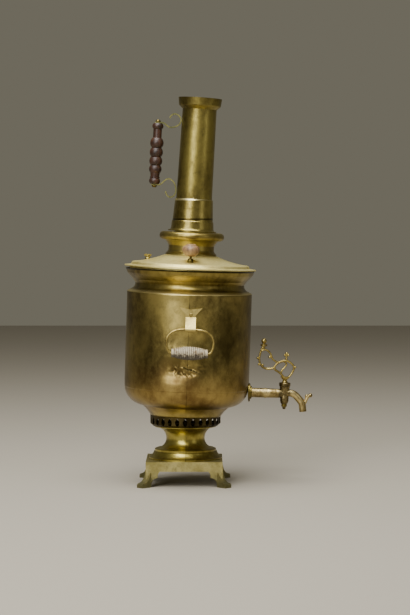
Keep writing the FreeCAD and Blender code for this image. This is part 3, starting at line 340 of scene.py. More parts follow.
@dataclass(frozen=True)
class VesselBrass(SeamedBrass):
    """The vessel's spun sheet: a copper-brown foot, painted shade on the flanks, darker fields of tarnish and painted
    shade on the front, and the seam.
    """

    copper: str = "#80562e"
    copper_amount: float = 0.38
    # The colour and strength of the painted shade on the flanks
    flank_shade: str = "#5e4c22"
    flank_shade_amount: float = 0.6
    # The fields' colour: tarnish and painted shade
    tarnish_and_shade: str = "#322a12"
    blots: tuple[Blot, ...] = (
        Blot((0.080, -0.100, 0.300), (0.050, 0.080, 0.090), 0.75),
        Blot((-0.075, -0.100, 0.285), (0.036, 0.080, 0.075), 0.55),
        Blot((0.045, -0.110, 0.245), (0.024, 0.060, 0.040), 0.45),
    )

    def marks(self, shading: Shading, colour: bpy.types.Node) -> bpy.types.Node:
        """Draw the foot, the painted shade on the flanks, the fields of tarnish and painted shade, and the seam.

        Args:
            shading: the material.
            colour: the colour so far.

        Returns:
            The colour with the marks.
        """
        split = shading.add("SeparateXYZ", {0: shading.place})
        cloud = shading.clouds(111.1 * MM, 5, 0.65, (1.0, 1.0, 0.6), 5.0)
        # The copper tint lies on the bowl, from 155 mm up, and fades out over the wall's foot
        level = shading.add("Math", {0: cloud, 1: 50 * MM, 2: split.outputs[2]}, operation="MULTIPLY_ADD")
        scaled = shading.add("Math", {0: level, 1: 3.0}, operation="MULTIPLY")
        foot = shading.add("ValToRGB", {0: scaled}, ((0.5, 0.15), (0.54, 1.0), (0.7, 0.9), (0.84, 0.0)))
        share = shading.add("Math", {0: foot, 1: self.copper_amount}, operation="MULTIPLY")
        colour = shading.add("Mix", {0: share, 6: colour, 7: linear(self.copper)}, data_type="RGBA")
        # Painted shade darkens the flanks from about 65 mm off the middle
        off = shading.add("Math", {0: split.outputs[0]}, operation="ABSOLUTE")
        ragged = shading.add("Math", {0: cloud, 1: 0.5}, operation="MULTIPLY")
        spread = shading.add("Math", {0: off, 1: 6.0, 2: ragged}, operation="MULTIPLY_ADD")
        flank_shade = shading.add("ValToRGB", {0: spread}, ((0.62, 0.0), (1.0, 1.0)))
        share = shading.add("Math", {0: flank_shade, 1: self.flank_shade_amount}, operation="MULTIPLY")
        colour = shading.add("Mix", {0: share, 6: colour, 7: linear(self.flank_shade)}, data_type="RGBA")
        # Fields of tarnish and painted shade on the front
        for blot in self.blots:
            colour = shading.add("Mix", {0: blot.share(shading), 6: colour, 7: linear(self.tarnish_and_shade)}, data_type="RGBA")
        return super().marks(shading, colour)


@dataclass(frozen=True)
class NeckBrass(BrassFinish):
    """The neck's spun sheet: a painted highlight along its ledge's edge, and a painted shadow in the gap under the lid.
    """

    rim_high: float = 0.0
    ledge_high: float = 383 * MM
    # Colours of the painted highlight on the ledge and of the painted shadow under the lid
    highlight_and_wear: str = "#d8c888"
    soot: str = "#120e08"

    def marks(self, shading: Shading, colour: bpy.types.Node) -> bpy.types.Node:
        """Draw the painted highlight and the painted shadow.

        Args:
            shading: the material.
            colour: the colour so far.

        Returns:
            The colour with the marks.
        """
        split = shading.add("SeparateXYZ", {0: shading.place})
        # Height along the vessel's leaning axis
        level = shading.add("Math", {0: split.outputs[0], 1: LEAN_SLOPE, 2: split.outputs[2]}, operation="MULTIPLY_ADD")
        under = shading.add("Math", {0: level, 1: self.ledge_high}, operation="SUBTRACT")
        off = shading.add("Math", {0: under}, operation="ABSOLUTE")
        # The painted highlight is full within 2.5 mm of the ledge's edge and gone at 6 mm
        scaled = shading.add("Math", {0: off, 1: 100.0}, operation="MULTIPLY")
        ledge_highlight = shading.add("ValToRGB", {0: scaled}, ((0.25, 0.85), (0.6, 0.0)))
        colour = shading.add("Mix", {0: ledge_highlight, 6: colour, 7: linear(self.highlight_and_wear)}, data_type="RGBA")
        # Painted shadow of the gap under the lid, on the rim's top 3 mm; its high side stands 4.3 mm over its middle
        over = shading.add("Math", {0: level, 1: self.rim_high - 8.3 * MM}, operation="SUBTRACT")
        scaled = shading.add("Math", {0: over, 1: 100.0}, operation="MULTIPLY")
        soot = shading.add("ValToRGB", {0: scaled}, ((0.1, 0.0), (0.2, 0.9)))
        return shading.add("Mix", {0: soot, 6: colour, 7: linear(self.soot)}, data_type="RGBA")


@dataclass(frozen=True)
class CastBrass(BrassFinish):
    """Sand-cast brass, dull and pitted: green-grey grime gathers on its feet."""

    grime_and_shade: str = "#56563c"

    def marks(self, shading: Shading, colour: bpy.types.Node) -> bpy.types.Node:
        """Draw the grime.

        Args:
            shading: the material.
            colour: the colour so far.

        Returns:
            The colour with the grime.
        """
        split = shading.add("SeparateXYZ", {0: shading.place})
        cloud = shading.clouds(14.286 * MM, 5, 0.7, EVEN, 6.0)
        # Full below about 9 mm, gone by 33 mm, with a ragged edge
        level = shading.add("Math", {0: cloud, 1: 35 * MM, 2: split.outputs[2]}, operation="MULTIPLY_ADD")
        scaled = shading.add("Math", {0: level, 1: 10.0}, operation="MULTIPLY")
        low = shading.add("ValToRGB", {0: scaled}, ((0.26, 0.75), (0.5, 0.0)))
        return shading.add("Mix", {0: low, 6: colour, 7: linear(self.grime_and_shade)}, data_type="RGBA")


@dataclass(frozen=True)
class SleeveBrass(BrassFinish):
    """The chimney's sleeve: a painted highlight as a bright ring round its top, and a dark line over the socket's edge.
    """

    top_high: float = 0.0
    ring_down: float = 8 * MM
    line_down: float = 42.5 * MM
    # The painted highlight's colour
    highlight_and_wear: str = "#e8dca4"
    line: str = "#2a2010"

    def marks(self, shading: Shading, colour: bpy.types.Node) -> bpy.types.Node:
        """Draw the ring and the line.

        Args:
            shading: the material.
            colour: the colour so far.

        Returns:
            The colour with the ring and the line.
        """
        height = shading.add("SeparateXYZ", {0: shading.place}).outputs[2]
        # The bright ring round the top is a painted highlight
        over = shading.add("Math", {0: height, 1: self.top_high - self.ring_down}, operation="SUBTRACT")
        scaled = shading.add("Math", {0: over, 1: 100.0}, operation="MULTIPLY")
        ring = shading.add("ValToRGB", {0: scaled}, ((0.25, 0.0), (0.4, 0.9)))
        colour = shading.add("Mix", {0: ring, 6: colour, 7: linear(self.highlight_and_wear)}, data_type="RGBA")
        under = shading.add("Math", {0: height, 1: self.top_high - self.line_down}, operation="SUBTRACT")
        off = shading.add("Math", {0: under}, operation="ABSOLUTE")
        # Full within 1 mm of the edge and gone at 2.5 mm
        scaled = shading.add("Math", {0: off, 1: 200.0}, operation="MULTIPLY")
        line = shading.add("ValToRGB", {0: scaled}, ((0.2, 0.8), (0.5, 0.0)))
        return shading.add("Mix", {0: line, 6: colour, 7: linear(self.line)}, data_type="RGBA")


@dataclass(frozen=True)
class TapBrass(BrassFinish):
    """The tap's cast brass, rubbed bright by hands: dark tarnish where drips dry round the plug housing."""

    housing_out: float = 200.5 * MM
    drip: str = "#382e1a"
    drip_amount: float = 0.85

    def marks(self, shading: Shading, colour: bpy.types.Node) -> bpy.types.Node:
        """Draw the tarnish.

        Args:
            shading: the material.
            colour: the colour so far.

        Returns:
            The colour with the tarnish.
        """
        split = shading.add("SeparateXYZ", {0: shading.place})
        past = shading.add("Math", {0: split.outputs[0], 1: self.housing_out}, operation="SUBTRACT")
        off = shading.add("Math", {0: past}, operation="ABSOLUTE")
        # The tarnish fades 10 to 15 mm from the housing's axis
        scaled = shading.add("Math", {0: off, 1: 50.0}, operation="MULTIPLY")
        near = shading.add("ValToRGB", {0: scaled}, ((0.5, 1.0), (0.75, 0.0)))
        cloud = shading.add("ValToRGB", {0: shading.clouds(8.333 * MM, 4, 0.6, EVEN, 4.0)}, ((0.3, 0.5), (0.6, 1.0)))
        patchy = shading.add("Math", {0: near, 1: cloud}, operation="MULTIPLY")
        share = shading.add("Math", {0: patchy, 1: self.drip_amount}, operation="MULTIPLY")
        return shading.add("Mix", {0: share, 6: colour, 7: linear(self.drip)}, data_type="RGBA")


@dataclass(frozen=True)
class WoodFinish:
    """Turned hardwood, stained by hands: grain along the turning axis and darker pores."""

    name: str
    light: str
    dark: str
    rough: float
    grain: float
    coat: float

    def build(self) -> bpy.types.Material:
        """Make the material.

        Returns:
            The finished material.
        """
        shading = Shading(self.name)
        fibres = shading.clouds(self.grain, 4, 0.6, (1.0, 1.0, 0.12))
        stains = shading.clouds(16.67 * MM, 3, 0.5, EVEN, 2.0)
        blend = shading.add("Mix", {0: 0.5, 6: fibres, 7: stains}, data_type="RGBA")
        share = shading.add("ValToRGB", {0: blend}, ((0.36, 0.0), (0.64, 1.0)))
        colour = shading.add("Mix", {0: share, 6: linear(self.light), 7: linear(self.dark)}, data_type="RGBA")
        bump = shading.add("Bump", {"Strength": 0.25, "Distance": 0.4 * MM, "Height": fibres})
        shading.feed(shading.shader, {"Base Color": colour, "Roughness": self.rough, "Coat Weight": self.coat,
                                      "Normal": bump})
        return shading.material


@dataclass(frozen=True)
class WornPaintFinish:
    """Pale oil paint on turned wood, rubbed off the beads' crowns and grimy in the grooves."""

    name: str = "paint_worn_on_wood"
    paint: str = "#b2a68a"
    bare: str = "#8c7450"
    # Grime, and the painted shade on the underside
    grime_and_shade: str = "#2c2a2a"

    def build(self) -> bpy.types.Material:
        """Make the material, which reads the piece's own "ridge" and "under" attributes.

        Returns:
            The finished material.
        """
        shading = Shading(self.name)
        speck = shading.clouds(6.25 * MM, 5, 0.7)
        highlight_and_wear = shading.add("ValToRGB", {0: speck}, ((0.5, 0.0), (0.62, 1.0)))
        colour = shading.add("Mix", {0: highlight_and_wear, 6: linear(self.paint), 7: linear(self.bare)}, data_type="RGBA")
        # Grime lies on the underside, where hands and soot meet, and painted shade darkens it too
        under = shading.add("Attribute", attribute_name="under").outputs["Fac"]
        low = shading.add("Math", {0: under, 1: 0.45}, operation="MULTIPLY")
        ragged = shading.add("Math", {0: speck, 1: 1.5, 2: low}, operation="MULTIPLY_ADD")
        below = shading.add("ValToRGB", {0: ragged}, ((0.76, 0.0), (0.98, 0.8)))
        # It also fills the grooves
        ridge = shading.add("Attribute", attribute_name="ridge").outputs["Fac"]
        level = shading.add("Math", {0: speck, 1: 0.35, 2: ridge}, operation="MULTIPLY_ADD")
        groove = shading.add("ValToRGB", {0: level}, ((0.42, 1.0), (0.78, 0.0)))
        share = shading.add("Math", {0: below, 1: groove}, operation="MAXIMUM")
        colour = shading.add("Mix", {0: share, 6: colour, 7: linear(self.grime_and_shade)}, data_type="RGBA")
        bump = shading.add("Bump", {"Strength": 0.3, "Distance": 0.4 * MM, "Height": speck})
        shading.feed(shading.shader, {"Base Color": colour, "Roughness": 0.55, "Normal": bump})
        return shading.material


@dataclass(frozen=True)
class CastIronFinish:
    """Sooty cast iron: near black, matt and gritty."""

    name: str = "cast_iron_sooty"
    dark: str = "#1b1916"
    light: str = "#3a332b"

    def build(self) -> bpy.types.Material:
        """Make the material.

        Returns:
            The finished material.
        """
        shading = Shading(self.name)
        grit = shading.clouds(3.333 * MM, 5, 0.7)
        colour = shading.add("Mix", {0: grit, 6: linear(self.dark), 7: linear(self.light)}, data_type="RGBA")
        bump = shading.add("Bump", {"Strength": 0.5, "Distance": 0.8 * MM, "Height": grit})
        shading.feed(shading.shader, {"Base Color": colour, "Metallic": 0.4, "Roughness": 0.8, "Normal": bump})
        return shading.material


class Finishes:
    """Every finish, built once and looked up by its coat."""

    def __init__(self, sleeve_top: float, rim_top: float) -> None:
        """Build the materials.

        Args:
            sleeve_top: the height of the chimney sleeve's top in metres.
            rim_top: the height of the neck's rim, at its high side, in metres.
        """
        recipes = {
            # Spun brass sheet: a broad soft sheen under drawn-out tarnish
            Coat.VESSEL: VesselBrass("brass_spun_aged", rough=0.33, cloud=90.9 * MM, streaks=(1.0, 1.0, 0.72)),
            Coat.NECK: NeckBrass("brass_neck_aged", "#978647", "#54461f", rough=0.34, dents=0.12, rim_high=rim_top),
            Coat.STEM: SeamedBrass("brass_stem_aged", "#b8aa58", "#7a6a2e", rough=0.33),
            Coat.CROWN: BrassFinish("brass_crown_aged", "#aa9a56", "#766532", rough=0.36),
            # Rolled sheet, a little duller
            Coat.CHIMNEY: BrassFinish("brass_sheet_aged", "#a2944f", "#5e522a", rough=0.4, brown_from=0.4),
            Coat.SLEEVE: SleeveBrass("brass_sleeve_highlight", "#b4a45c", "#6a5c2c", rough=0.32, top_high=sleeve_top),
            # A pale lid, rough enough to scatter its highlights
            Coat.LID: BrassFinish("brass_lid_pale", "#efe29a", "#cdbd74", "#80703e", 0.54, deep_amount=0.3),
            # Cast brass: matt and pitted on the base, rubbed on what hands touch
            Coat.CAST: CastBrass("brass_cast_dull", "#bcb074", "#958a52", "#4e4e32", 0.5, 0.12, 38.46 * MM,
                                 grain=0.6, streaks=EVEN),
            Coat.BRIGHT: BrassFinish("brass_cast_worn", "#ccba74", "#94834c", rough=0.46, cloud=25 * MM,
                                     deep_amount=0.25),
            Coat.TAP: TapBrass("brass_tap_handled", "#ccb880", "#76643a", rough=0.38, cloud=22.22 * MM),
            Coat.KEY: BrassFinish("brass_key_rubbed", "#bca862", "#7a683a", rough=0.36, cloud=16.67 * MM,
                                  deep_amount=0.4),
            # Brass that nobody polishes: browned screws and pins, olive strips, sooty fire parts
            Coat.DARK: BrassFinish("brass_tarnished", "#7e7038", "#4a3c1c", rough=0.42, cloud=16.67 * MM),
            Coat.STRIP: BrassFinish("brass_strip_olive", "#8a8450", "#5c5c38", "#3a4230", 0.42, cloud=16.67 * MM),
            Coat.GALLERY: BrassFinish("brass_gallery_sooty", "#5a4e2c", "#2a2212", rough=0.5, deep_amount=0.7),
            Coat.SOOT: BrassFinish("brass_sooty", "#3c3222", "#1e1812", rough=0.6, metal=0.6),
            # Hardwood: a satin dark stain on the grip, dry and worn on the knobs
            Coat.WOOD: WoodFinish("hardwood_turned_dark", "#452613", "#190c06", 0.44, 3.846 * MM, 0.0),
            Coat.KNOB: WoodFinish("hardwood_turned_worn", "#a8875e", "#5c4028", 0.5, 4.545 * MM, 0.1),
            Coat.PAINT: WornPaintFinish(),
            Coat.IRON: CastIronFinish(),
        }
        self.made = {coat: recipe.build() for coat, recipe in recipes.items()}

    def dress(self, piece: bpy.types.Object, coat: Coat) -> None:
        """Give a piece one finish all over.

        Args:
            piece: the piece.
            coat: its finish.
        """
        piece.data.materials.clear()
        piece.data.materials.append(self.made[coat])
        LOG.info("%s wears %s", piece.name, coat.value)


# Which solid of the part wears which finish
NODE_COATS = {
    Coat.CAST: ("base_casting",),
    Coat.STEM: ("pedestal",),
    Coat.GALLERY: ("gallery_ring",),
    Coat.VESSEL: ("body_bottom", "body_wall"),
    Coat.NECK: ("neck_ring",),
    Coat.SOOT: ("fire_tube",),
    Coat.IRON: ("fire_grate",),
    Coat.LID: ("lid",),
    Coat.KNOB: ("front_knob", "back_knob"),
    Coat.CROWN: ("vent_pipe", "vent_cap", "crown"),
    Coat.SLEEVE: ("chimney_foot",),
    Coat.CHIMNEY: ("chimney_pipe", "chimney_rim"),
    Coat.WOOD: ("chimney_grip",),
    Coat.STRIP: ("upper_strip", "lower_strip"),
    Coat.BRIGHT: ("front_bracket", "back_bracket", "front_bail", "back_bail", "handle_rivets"),
    Coat.PAINT: ("front_grip", "back_grip"),
    Coat.TAP: ("tap_body", "plug_tip"),
    Coat.KEY: ("tap_key",),
    Coat.DARK: ("front_knob_pin", "back_knob_pin", "grip_rod", "tap_rose", "plug_washer"),
}


def new_piece(name: str, mesh: bmesh.types.BMesh, body: str, slot: Slot, smooth: float) -> bpy.types.Object:
    """Make an object from a bmesh and let it ride a body.

    Args:
        name: the piece's name.
        mesh: its shape, in the row frame, which is freed.
        body: the body that carries it.
        slot: the record's slot for its finish; not used.
        smooth: the sharpest edge, in degrees, that is shaded smooth.

    Returns:
        The new object.
    """
    data = bpy.data.meshes.new(name)
    mesh.to_mesh(data)
    mesh.free()
    piece = bpy.data.objects.new(name, data)
    bpy.context.scene.collection.objects.link(piece)
    data.shade_smooth()
    data.set_sharp_from_angle(angle=math.radians(smooth))
    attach(piece, body)
    LOG.info("piece %s on %s: %d faces", name, body, len(data.polygons))
    return piece


def weld(mesh: bmesh.types.BMesh) -> None:
    """Join a mesh's doubled vertices and turn its normals outward."""
    bmesh.ops.remove_doubles(mesh, verts=mesh.verts, dist=WELD)
    bmesh.ops.recalc_face_normals(mesh, faces=mesh.faces)


def merged_copy(node: bpy.types.Object) -> bmesh.types.BMesh:
    """Copy a node's mesh with its loose triangles joined.

    Args:
        node: the node.

    Returns:
        The copy.
    """
    mesh = bmesh.new()
    mesh.from_mesh(node.data)
    weld(mesh)
    return mesh


def spin_outline(mesh: bmesh.types.BMesh, chain: list[bmesh.types.BMVert], axis: Triple, steps: int) -> None:
    """Turn an outline round an axis through the origin, as on a lathe.

    Args:
        mesh: the mesh that holds the outline.
        chain: the outline's vertices in order.
        axis: the axis.
        steps: how many steps make the round.
    """
    edges = [mesh.edges.new(pair) for pair in zip(chain, chain[1:])]
    bmesh.ops.spin(mesh, geom=chain + edges, axis=axis, cent=ORIGIN, angle=math.tau, steps=steps, use_merge=True)
    weld(mesh)


def put(mesh: bmesh.types.BMesh, spot: Sequence[float], from_axis: Triple, to_axis: Vector) -> None:
    """Move a mesh from the origin to its place.

    Args:
        mesh: the mesh.
        spot: where its origin goes.
        from_axis: its axis at the origin.
        to_axis: its axis in place.
    """
    turn = Vector(from_axis).rotation_difference(to_axis).to_matrix().to_4x4()
    bmesh.ops.transform(mesh, matrix=Matrix.Translation(spot) @ turn, verts=mesh.verts)


@dataclass
class CameraRig:
    """The photograph's viewpoint: a long lens, a little below the lid and a little to the right."""

    across: float = 41.2 * MM
    back: float = 4.2
    high: float = 537 * MM
    pitch: float = 2.52
    focal_px: float = 2100.0
    film_high: float = 24.0
    sight: float = 100.0

    def build(self) -> None:
        """Make the camera and set it as the scene's."""
        data = bpy.data.cameras.new("photo_camera")
        data.sensor_fit = "VERTICAL"
        data.sensor_height = self.film_high
        data.lens = self.focal_px * self.film_high / PHOTO_HIGH
        data.clip_end = self.sight
        camera = bpy.data.objects.new("photo_camera", data)
        bpy.context.scene.collection.objects.link(camera)
        camera.location = (self.across, -self.back, self.high)
        camera.rotation_euler = (math.radians(90.0 - self.pitch), 0.0, 0.0)
        bpy.context.scene.camera = camera


@dataclass(frozen=True)
class Lamp:
    """An oblong soft light: where it hangs, its width and height in metres, and its power in watts."""

    name: str
    spot: Triple
    wide: float
    tall: float
    power: float

    def hang(self, aim_high: float) -> None:
        """Add the light, facing the object.

        Args:
            aim_high: the height that it faces, on the object's axis.
        """
        data = bpy.data.lights.new(self.name, "AREA")
        data.shape = "RECTANGLE"
        data.size = self.wide
        data.size_y = self.tall
        data.energy = self.power
        made = bpy.data.objects.new(self.name, data)
        bpy.context.scene.collection.objects.link(made)
        made.location = self.spot
        aim = Vector((0.0, 0.0, aim_high)) - Vector(self.spot)
        made.rotation_euler = aim.to_track_quat("-Z", "Y").to_euler()


@dataclass
class Studio:
    """A plain pale floor under soft light from above and in front."""

    floor_half: float = 6.0
    floor_colour: str = "#a19a8b"
    floor_rough: float = 0.9
    sky_colour: str = "#a19c8a"
    sky_strength: float = 0.44
    aim_high: float = 350 * MM
    lamps: tuple[Lamp, ...] = (
        Lamp("key", (-1.35, -3.0, 1.7), 1.4, 2.2, 70.0),
        Lamp("fill", (2.4, -1.9, 1.2), 0.6, 1.6, 6.0),
        Lamp("front_top", (-0.5, -2.3, 2.6), 1.6, 0.9, 50.0),
        Lamp("top", (-0.2, -0.5, 3.0), 2.0, 1.8, 120.0),
    )

    def floor(self) -> None:
        """Make the floor and give it a matt finish."""
        mesh = bmesh.new()
        bmesh.ops.create_grid(mesh, x_segments=1, y_segments=1, size=self.floor_half)
        data = bpy.data.meshes.new("floor")
        mesh.to_mesh(data)
        mesh.free()
        made = bpy.data.objects.new("floor", data)
        bpy.context.scene.collection.objects.link(made)
        shading = Shading("floor_matt")
        shading.feed(shading.shader, {"Base Color": linear(self.floor_colour), "Roughness": self.floor_rough})
        data.materials.append(shading.material)

    def build(self) -> None:
        """Make the floor, the sky and the lamps."""
        self.floor()
        world = bpy.data.worlds.new("soft_sky")
        bpy.context.scene.world = world
        world.use_nodes = True
        back = next(n for n in world.node_tree.nodes if n.type == "BACKGROUND")
        back.inputs["Color"].default_value = linear(self.sky_colour)
        back.inputs["Strength"].default_value = self.sky_strength
        for lamp in self.lamps:
            lamp.hang(self.aim_high)


@dataclass
class Dent:
    """One hollow beaten into the wall's front: its middle, half sizes and depth, in metres."""

    across: float
    high: float
    wide: float
    tall: float
    deep: float
    creased: bool = False
    fold_amount: float = 2.2
    fine_amount: float = 0.8

    def depth(self, spot: Vector) -> float:
        """How far in the wall is pushed.

        Args:
            spot: a place on the wall.

        Returns:
            The push towards the vessel's axis, in metres.
        """
        x = (spot.x - self.across) / self.wide
        z = (spot.z - self.high) / self.tall
        reach = math.exp(-(x * x + z * z) ** 1.5)
        if not self.creased or reach < 0.01:
            return self.deep * reach
        # Slanted folds some 10 mm apart, with finer ones of 5 mm between them
        folds = abs(noise.noise(Vector((spot.x * 75, 3.0, spot.z * 105 + spot.x * 40))))
        fine = abs(noise.noise(Vector((spot.x * 170, 9.0, spot.z * 200))))
        return self.deep * reach * (folds * self.fold_amount + fine * self.fine_amount)


@dataclass
class Shell:
    """The vessel's sheet metal, in its own upright frame: sizes and the soft roll where bowl and wall meet."""

    outside: float = 125 * MM
    sheet: float = 1.5 * MM
    bowl_low: float = 20 * MM
    foot: float = 55 * MM
    top: float = 246 * MM
    pivot: Triple = (2 * MM, 0.0, LEAN_FROM)
    roll: float = 1.2 * MM
    roll_high: float = 25 * MM

    def lean(self) -> Matrix:
        """The turn from the shell's upright frame to the row frame."""
        return Matrix.Rotation(math.radians(LEAN_DEGREES), 4, "Y")

    def upright(self, spot: Vector) -> Vector:
        """A place of the row frame in the shell's upright frame."""
        return self.lean().inverted() @ (spot - Vector(self.pivot))

    def standing(self, flat: Vector) -> Vector:
        """A place of the upright frame in the row frame."""
        return self.lean() @ flat + Vector(self.pivot)

    def tuck(self, high: float) -> float:
        """How far the roll draws the sheet in.

        Args:
            high: the height in the upright frame, in metres.

        Returns:
            The push towards the axis, the same on both sides of the joint and fading out away from it.
        """
        if high >= self.foot:
            part = max(0.0, 1 - (high - self.foot) / self.roll_high)
        else:
            part = max(0.0, 1 - (self.foot - high) / (self.foot - self.bowl_low))
        return self.roll * part * part


@dataclass
class RolledBowl(Shell):
    """The vessel's bottom, whose bowl rolls into the wall without a crease."""

    def build(self, frame: dict[str, Any], finishes: Finishes) -> None:
        """Shape and dress the bottom.

        Args:
            frame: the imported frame.
            finishes: the finishes.
        """
        mesh = merged_copy(frame["nodes"]["body_bottom"])
        for vert in mesh.verts:
            flat = self.upright(vert.co)
            out = Vector((flat.x, flat.y, 0.0)).normalized()
            vert.co = self.standing(flat - out * self.tuck(flat.z))
        piece = new_piece("vessel_bottom", mesh, "vessel", Slot.VESSEL, 40)
        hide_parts("body_bottom")
        finishes.dress(piece, Coat.VESSEL)


@dataclass
class DentedWall(Shell):
    """The vessel's wall: sheet with a wrinkled dent under the front grip and soft waves all round."""

    rows: int = 96
    long_edge: float = 50 * MM
    fine_edge: float = 3.2 * MM
    fine_back: float = -60 * MM
    fine_half: float = 100 * MM
    dents_back: float = -50 * MM
    tap_out: float = 110 * MM
    tap_half: float = 12 * MM
    foot_fade: float = 20 * MM
    top_fade: float = 12 * MM
    wave: float = 0.45 * MM
    dents: tuple[Dent, ...] = (
        Dent(3 * MM, 236 * MM, 34 * MM, 12 * MM, 3.4 * MM, True),
        Dent(-12 * MM, 234 * MM, 36 * MM, 22 * MM, 2.4 * MM),
        Dent(-62 * MM, 268 * MM, 22 * MM, 42 * MM, 1.4 * MM),
        Dent(58 * MM, 300 * MM, 26 * MM, 34 * MM, 1.6 * MM),
        Dent(-2 * MM, 292 * MM, 40 * MM, 15 * MM, 1.2 * MM),
    )

    def push(self, spot: Vector, flat: Vector) -> float:
        """How far a point of the wall moves in.

        Args:
            spot: the point in the row frame.
            flat: the same point in the vessel's own upright frame.

        Returns:
            The push in metres, of which only the roll is left at the wall's two ends.
        """
        edge = max(0.0, min(1.0, (flat.z - self.foot) / self.foot_fade, (self.top - flat.z) / self.top_fade))
        # Waves some 70 mm wide and 170 mm tall
        soft = self.wave * (1 + noise.noise(Vector((flat.x * 14, flat.y * 14, flat.z * 6))))
        beaten = sum(dent.depth(spot) for dent in self.dents) if spot.y < self.dents_back else 0.0
        return edge * (soft + beaten) + self.tuck(flat.z)

    def refine(self, mesh: bmesh.types.BMesh) -> None:
        """Cut the wall fine enough for its waves, and finer where the dents are.

        Args:
            mesh: the wall's mesh.
        """
        tall = [e for e in mesh.edges if e.calc_length() > self.long_edge]
        bmesh.ops.subdivide_edges(mesh, edges=tall, cuts=self.rows, use_grid_fill=True)
        front = [e for e in mesh.edges if e.calc_length() > self.fine_edge
                 and all(v.co.y < self.fine_back and abs(v.co.x) < self.fine_half for v in e.verts)]
        bmesh.ops.subdivide_edges(mesh, edges=front, cuts=2, use_grid_fill=True)
        bmesh.ops.triangulate(mesh, faces=mesh.faces)

    def build(self, frame: dict[str, Any], finishes: Finishes) -> None:
        """Shape and dress the wall.

        Args:
            frame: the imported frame.
            finishes: the finishes.
        """
        mesh = merged_copy(frame["nodes"]["body_wall"])
        self.refine(mesh)
        middle = self.outside - self.sheet / 2
        for vert in mesh.verts:
            flat = self.upright(vert.co)
            # The wall stays true round the tap's hole
            if flat.x > self.tap_out and abs(flat.y) < self.tap_half:
                continue
            out = Vector((flat.x, flat.y, 0.0))
            radius = self.outside if out.length > middle else self.outside - self.sheet
            out.normalize()
            flat = out * (radius - self.push(vert.co, flat)) + Vector((0.0, 0.0, flat.z))
            vert.co = self.standing(flat)
        piece = new_piece("vessel_wall", mesh, "vessel", Slot.VESSEL, 60)
        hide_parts("body_wall")
        finishes.dress(piece, Coat.VESSEL)


@dataclass
class KnobHead:
    """A lid knob's turned head: a squat round with a small raised disc on top."""

    side: Side
    steps: int = 40
    # (part of the radius, part of the height)
    course: tuple[tuple[float, float], ...] = (
        (0.15, 0.0), (0.44, 0.0), (0.64, 0.08), (0.84, 0.22), (0.96, 0.40), (0.99, 0.54), (0.93, 0.68),
        (0.80, 0.79), (0.66, 0.845), (0.60, 0.85), (0.58, 0.88), (0.56, 0.93), (0.46, 0.97), (0.0, 0.985))

    def build(self, frame: dict[str, Any], finishes: Finishes) -> None:
        """Spin the head inside the solid knob's box.

        Args:
            frame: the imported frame.
            finishes: the finishes.
        """
        node = self.side.value + "_knob"
        lift = next(j for j in frame["joints"] if j["name"] == "lid_lift")
        low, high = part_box(node)
        up = Vector(lift["axis"]).normalized()
        # The box of a leaning knob is larger than the knob by its radius times the sine of the lean
        lean = math.sin(up.angle(Vector(ALONG_Z)))
        radius = (high.y - low.y) / 2
        tall = high.z - low.z - radius * lean
        mesh = bmesh.new()
        chain = [mesh.verts.new((r * radius, 0.0, z * tall)) for r, z in self.course]
        spin_outline(mesh, chain, ALONG_Z, self.steps)
        put(mesh, (low + high) / 2 - up * tall / 2, ALONG_Z, up)
        piece = new_piece(self.side.value + "_knob_head", mesh, "lid", Slot.KNOB, 35)
        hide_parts(node)
        finishes.dress(piece, Coat.KNOB)


@dataclass
class RoundBail:
    """A drop handle's wire: straight through the strap's eye, round the sides and in at the grip's ends."""

    side: Side
    wire: float = 2.1 * MM
    # (out from the middle, down from the eye) in millimetres, along one half
    run: tuple[tuple[float, float], ...] = (
        (11, 0), (26, 1.8), (38.5, 8), (45.2, 19), (45.0, 31), (42.6, 40), (39.5, 44.6), (35, 46))

    def build(self, frame: dict[str, Any], finishes: Finishes) -> None:
        """Sweep the wire and hang it from its joint.

        Args:
            frame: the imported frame.
            finishes: the finishes.
        """
        side = self.side.value
        joints = {j["name"]: j for j in frame["joints"]}
        pivot = Vector(joints[side + "_handle_swing"]["pos_m"])
        spin = joints[side + "_grip_spin"]
        along = Vector(spin["axis"]).normalized()
        down = (Vector(spin["pos_m"]) - pivot).normalized()
        half = [pivot + along * x * MM + down * z * MM for x, z in self.run]
        other = [pivot - along * x * MM + down * z * MM for x, z in reversed(self.run)]
        curve = bpy.data.curves.new(side + "_bail_run", "CURVE")
        curve.dimensions = "3D"
        curve.bevel_depth = self.wire
        curve.bevel_resolution = 5
        curve.resolution_u = 8
        spline = curve.splines.new("BEZIER")
        spline.bezier_points.add(len(half) * 2 - 1)
        for point, spot in zip(spline.bezier_points, half + other):
            point.co = spot
            point.handle_left_type = point.handle_right_type = "AUTO"
        spline.use_cyclic_u = True
        swept = bpy.data.objects.new(side + "_bail_run", curve)
        mesh = bmesh.new()
        mesh.from_mesh(swept.to_mesh())
        bpy.data.objects.remove(swept)
        bpy.data.curves.remove(curve)
        weld(mesh)
        piece = new_piece(side + "_round_bail", mesh, side + "_bail", Slot.BRIGHT, 60)
        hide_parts(side + "_bail")
        finishes.dress(piece, Coat.KEY)


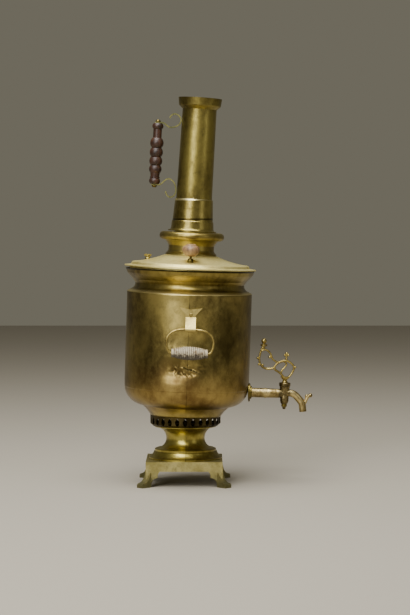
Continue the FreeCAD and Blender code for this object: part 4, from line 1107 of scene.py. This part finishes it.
@dataclass
class RibbedGrip:
    """A barrel grip turned with fine beads, between two plain collars."""

    side: Side
    beads: int = 16
    bead_points: int = 6
    bead_power: float = 0.6
    groove: float = 1.1 * MM
    collar: float = 8.5 * MM
    collar_long: float = 6 * MM
    end_round: float = 1 * MM
    long: float = 71 * MM
    swell: float = 13.4 * MM
    swell_power: float = 0.8
    shoulder: float = 8.6 * MM
    bore: float = 2.2 * MM
    steps: int = 48

    def collar_course(self) -> list[tuple[float, float, float]]:
        """One end's outline, from the bore to the foot of the first bead.

        Returns:
            Places as (distance along, radius, ridge).
        """
        end = -self.long / 2
        return [(end, self.bore, 0.6),
                (end, self.collar - self.end_round, 1.0),
                (end + self.end_round, self.collar, 1.0),
                (end + self.collar_long - self.end_round, self.collar, 1.0),
                (end + self.collar_long, self.shoulder - self.groove, 0.0)]

    def profile(self) -> list[tuple[float, float, float]]:
        """The whole outline from one end to the other.

        Returns:
            Places as (distance along, radius, ridge), where ridge is 1 on a crown and 0 in a groove.
        """
        start = -self.long / 2 + self.collar_long
        run = self.long - 2 * self.collar_long
        count = self.beads * self.bead_points
        ends = self.collar_course()
        points = list(ends)
        for number in range(1, count):
            part = number / count
            body = self.shoulder + (self.swell - self.shoulder) * (1 - (2 * part - 1) ** 2) ** self.swell_power
            crown = abs(math.sin(math.pi * part * self.beads)) ** self.bead_power
            points.append((start + run * part, body - self.groove * (1 - crown), crown))
        return points + [(-along, radius, crown) for along, radius, crown in reversed(ends)]

    def build(self, frame: dict[str, Any], finishes: Finishes) -> None:
        """Spin the outline and set it on the bail's lower run.

        Args:
            frame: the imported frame.
            finishes: the finishes.
        """
        side = self.side.value
        joint = next(j for j in frame["joints"] if j["name"] == side + "_grip_spin")
        mesh = bmesh.new()
        ridge = mesh.verts.layers.float.new("ridge")
        under = mesh.verts.layers.float.new("under")
        chain = []
        for along, radius, crown in self.profile():
            vert = mesh.verts.new((along, 0.0, radius))
            vert[ridge] = crown
            chain.append(vert)
        spin_outline(mesh, chain, ALONG_X, self.steps)
        # How far each point faces down, for the painted shade and grime on the underside
        for vert in mesh.verts:
            vert[under] = -vert.co.z / math.hypot(vert.co.y, vert.co.z)
        put(mesh, joint["pos_m"], ALONG_X, Vector(joint["axis"]))
        piece = new_piece(side + "_ribbed_grip", mesh, side + "_grip", Slot.PAINT, 50)
        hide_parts(side + "_grip")
        finishes.dress(piece, Coat.PAINT)


def main() -> None:
    """Load the frame, dress its nodes and build every new piece in order."""
    logging.basicConfig(level=logging.INFO, format="%(message)s")
    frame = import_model()
    CameraRig().build()
    Studio().build()
    finishes = Finishes(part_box("chimney_foot")[1].z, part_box("neck_ring")[1].z)
    for coat, names in NODE_COATS.items():
        for name in names:
            finishes.dress(frame["nodes"][name], coat)
    RolledBowl().build(frame, finishes)
    DentedWall().build(frame, finishes)
    for side in Side:
        KnobHead(side).build(frame, finishes)
        RoundBail(side).build(frame, finishes)
        RibbedGrip(side).build(frame, finishes)


if __name__ == "__main__":
    main()
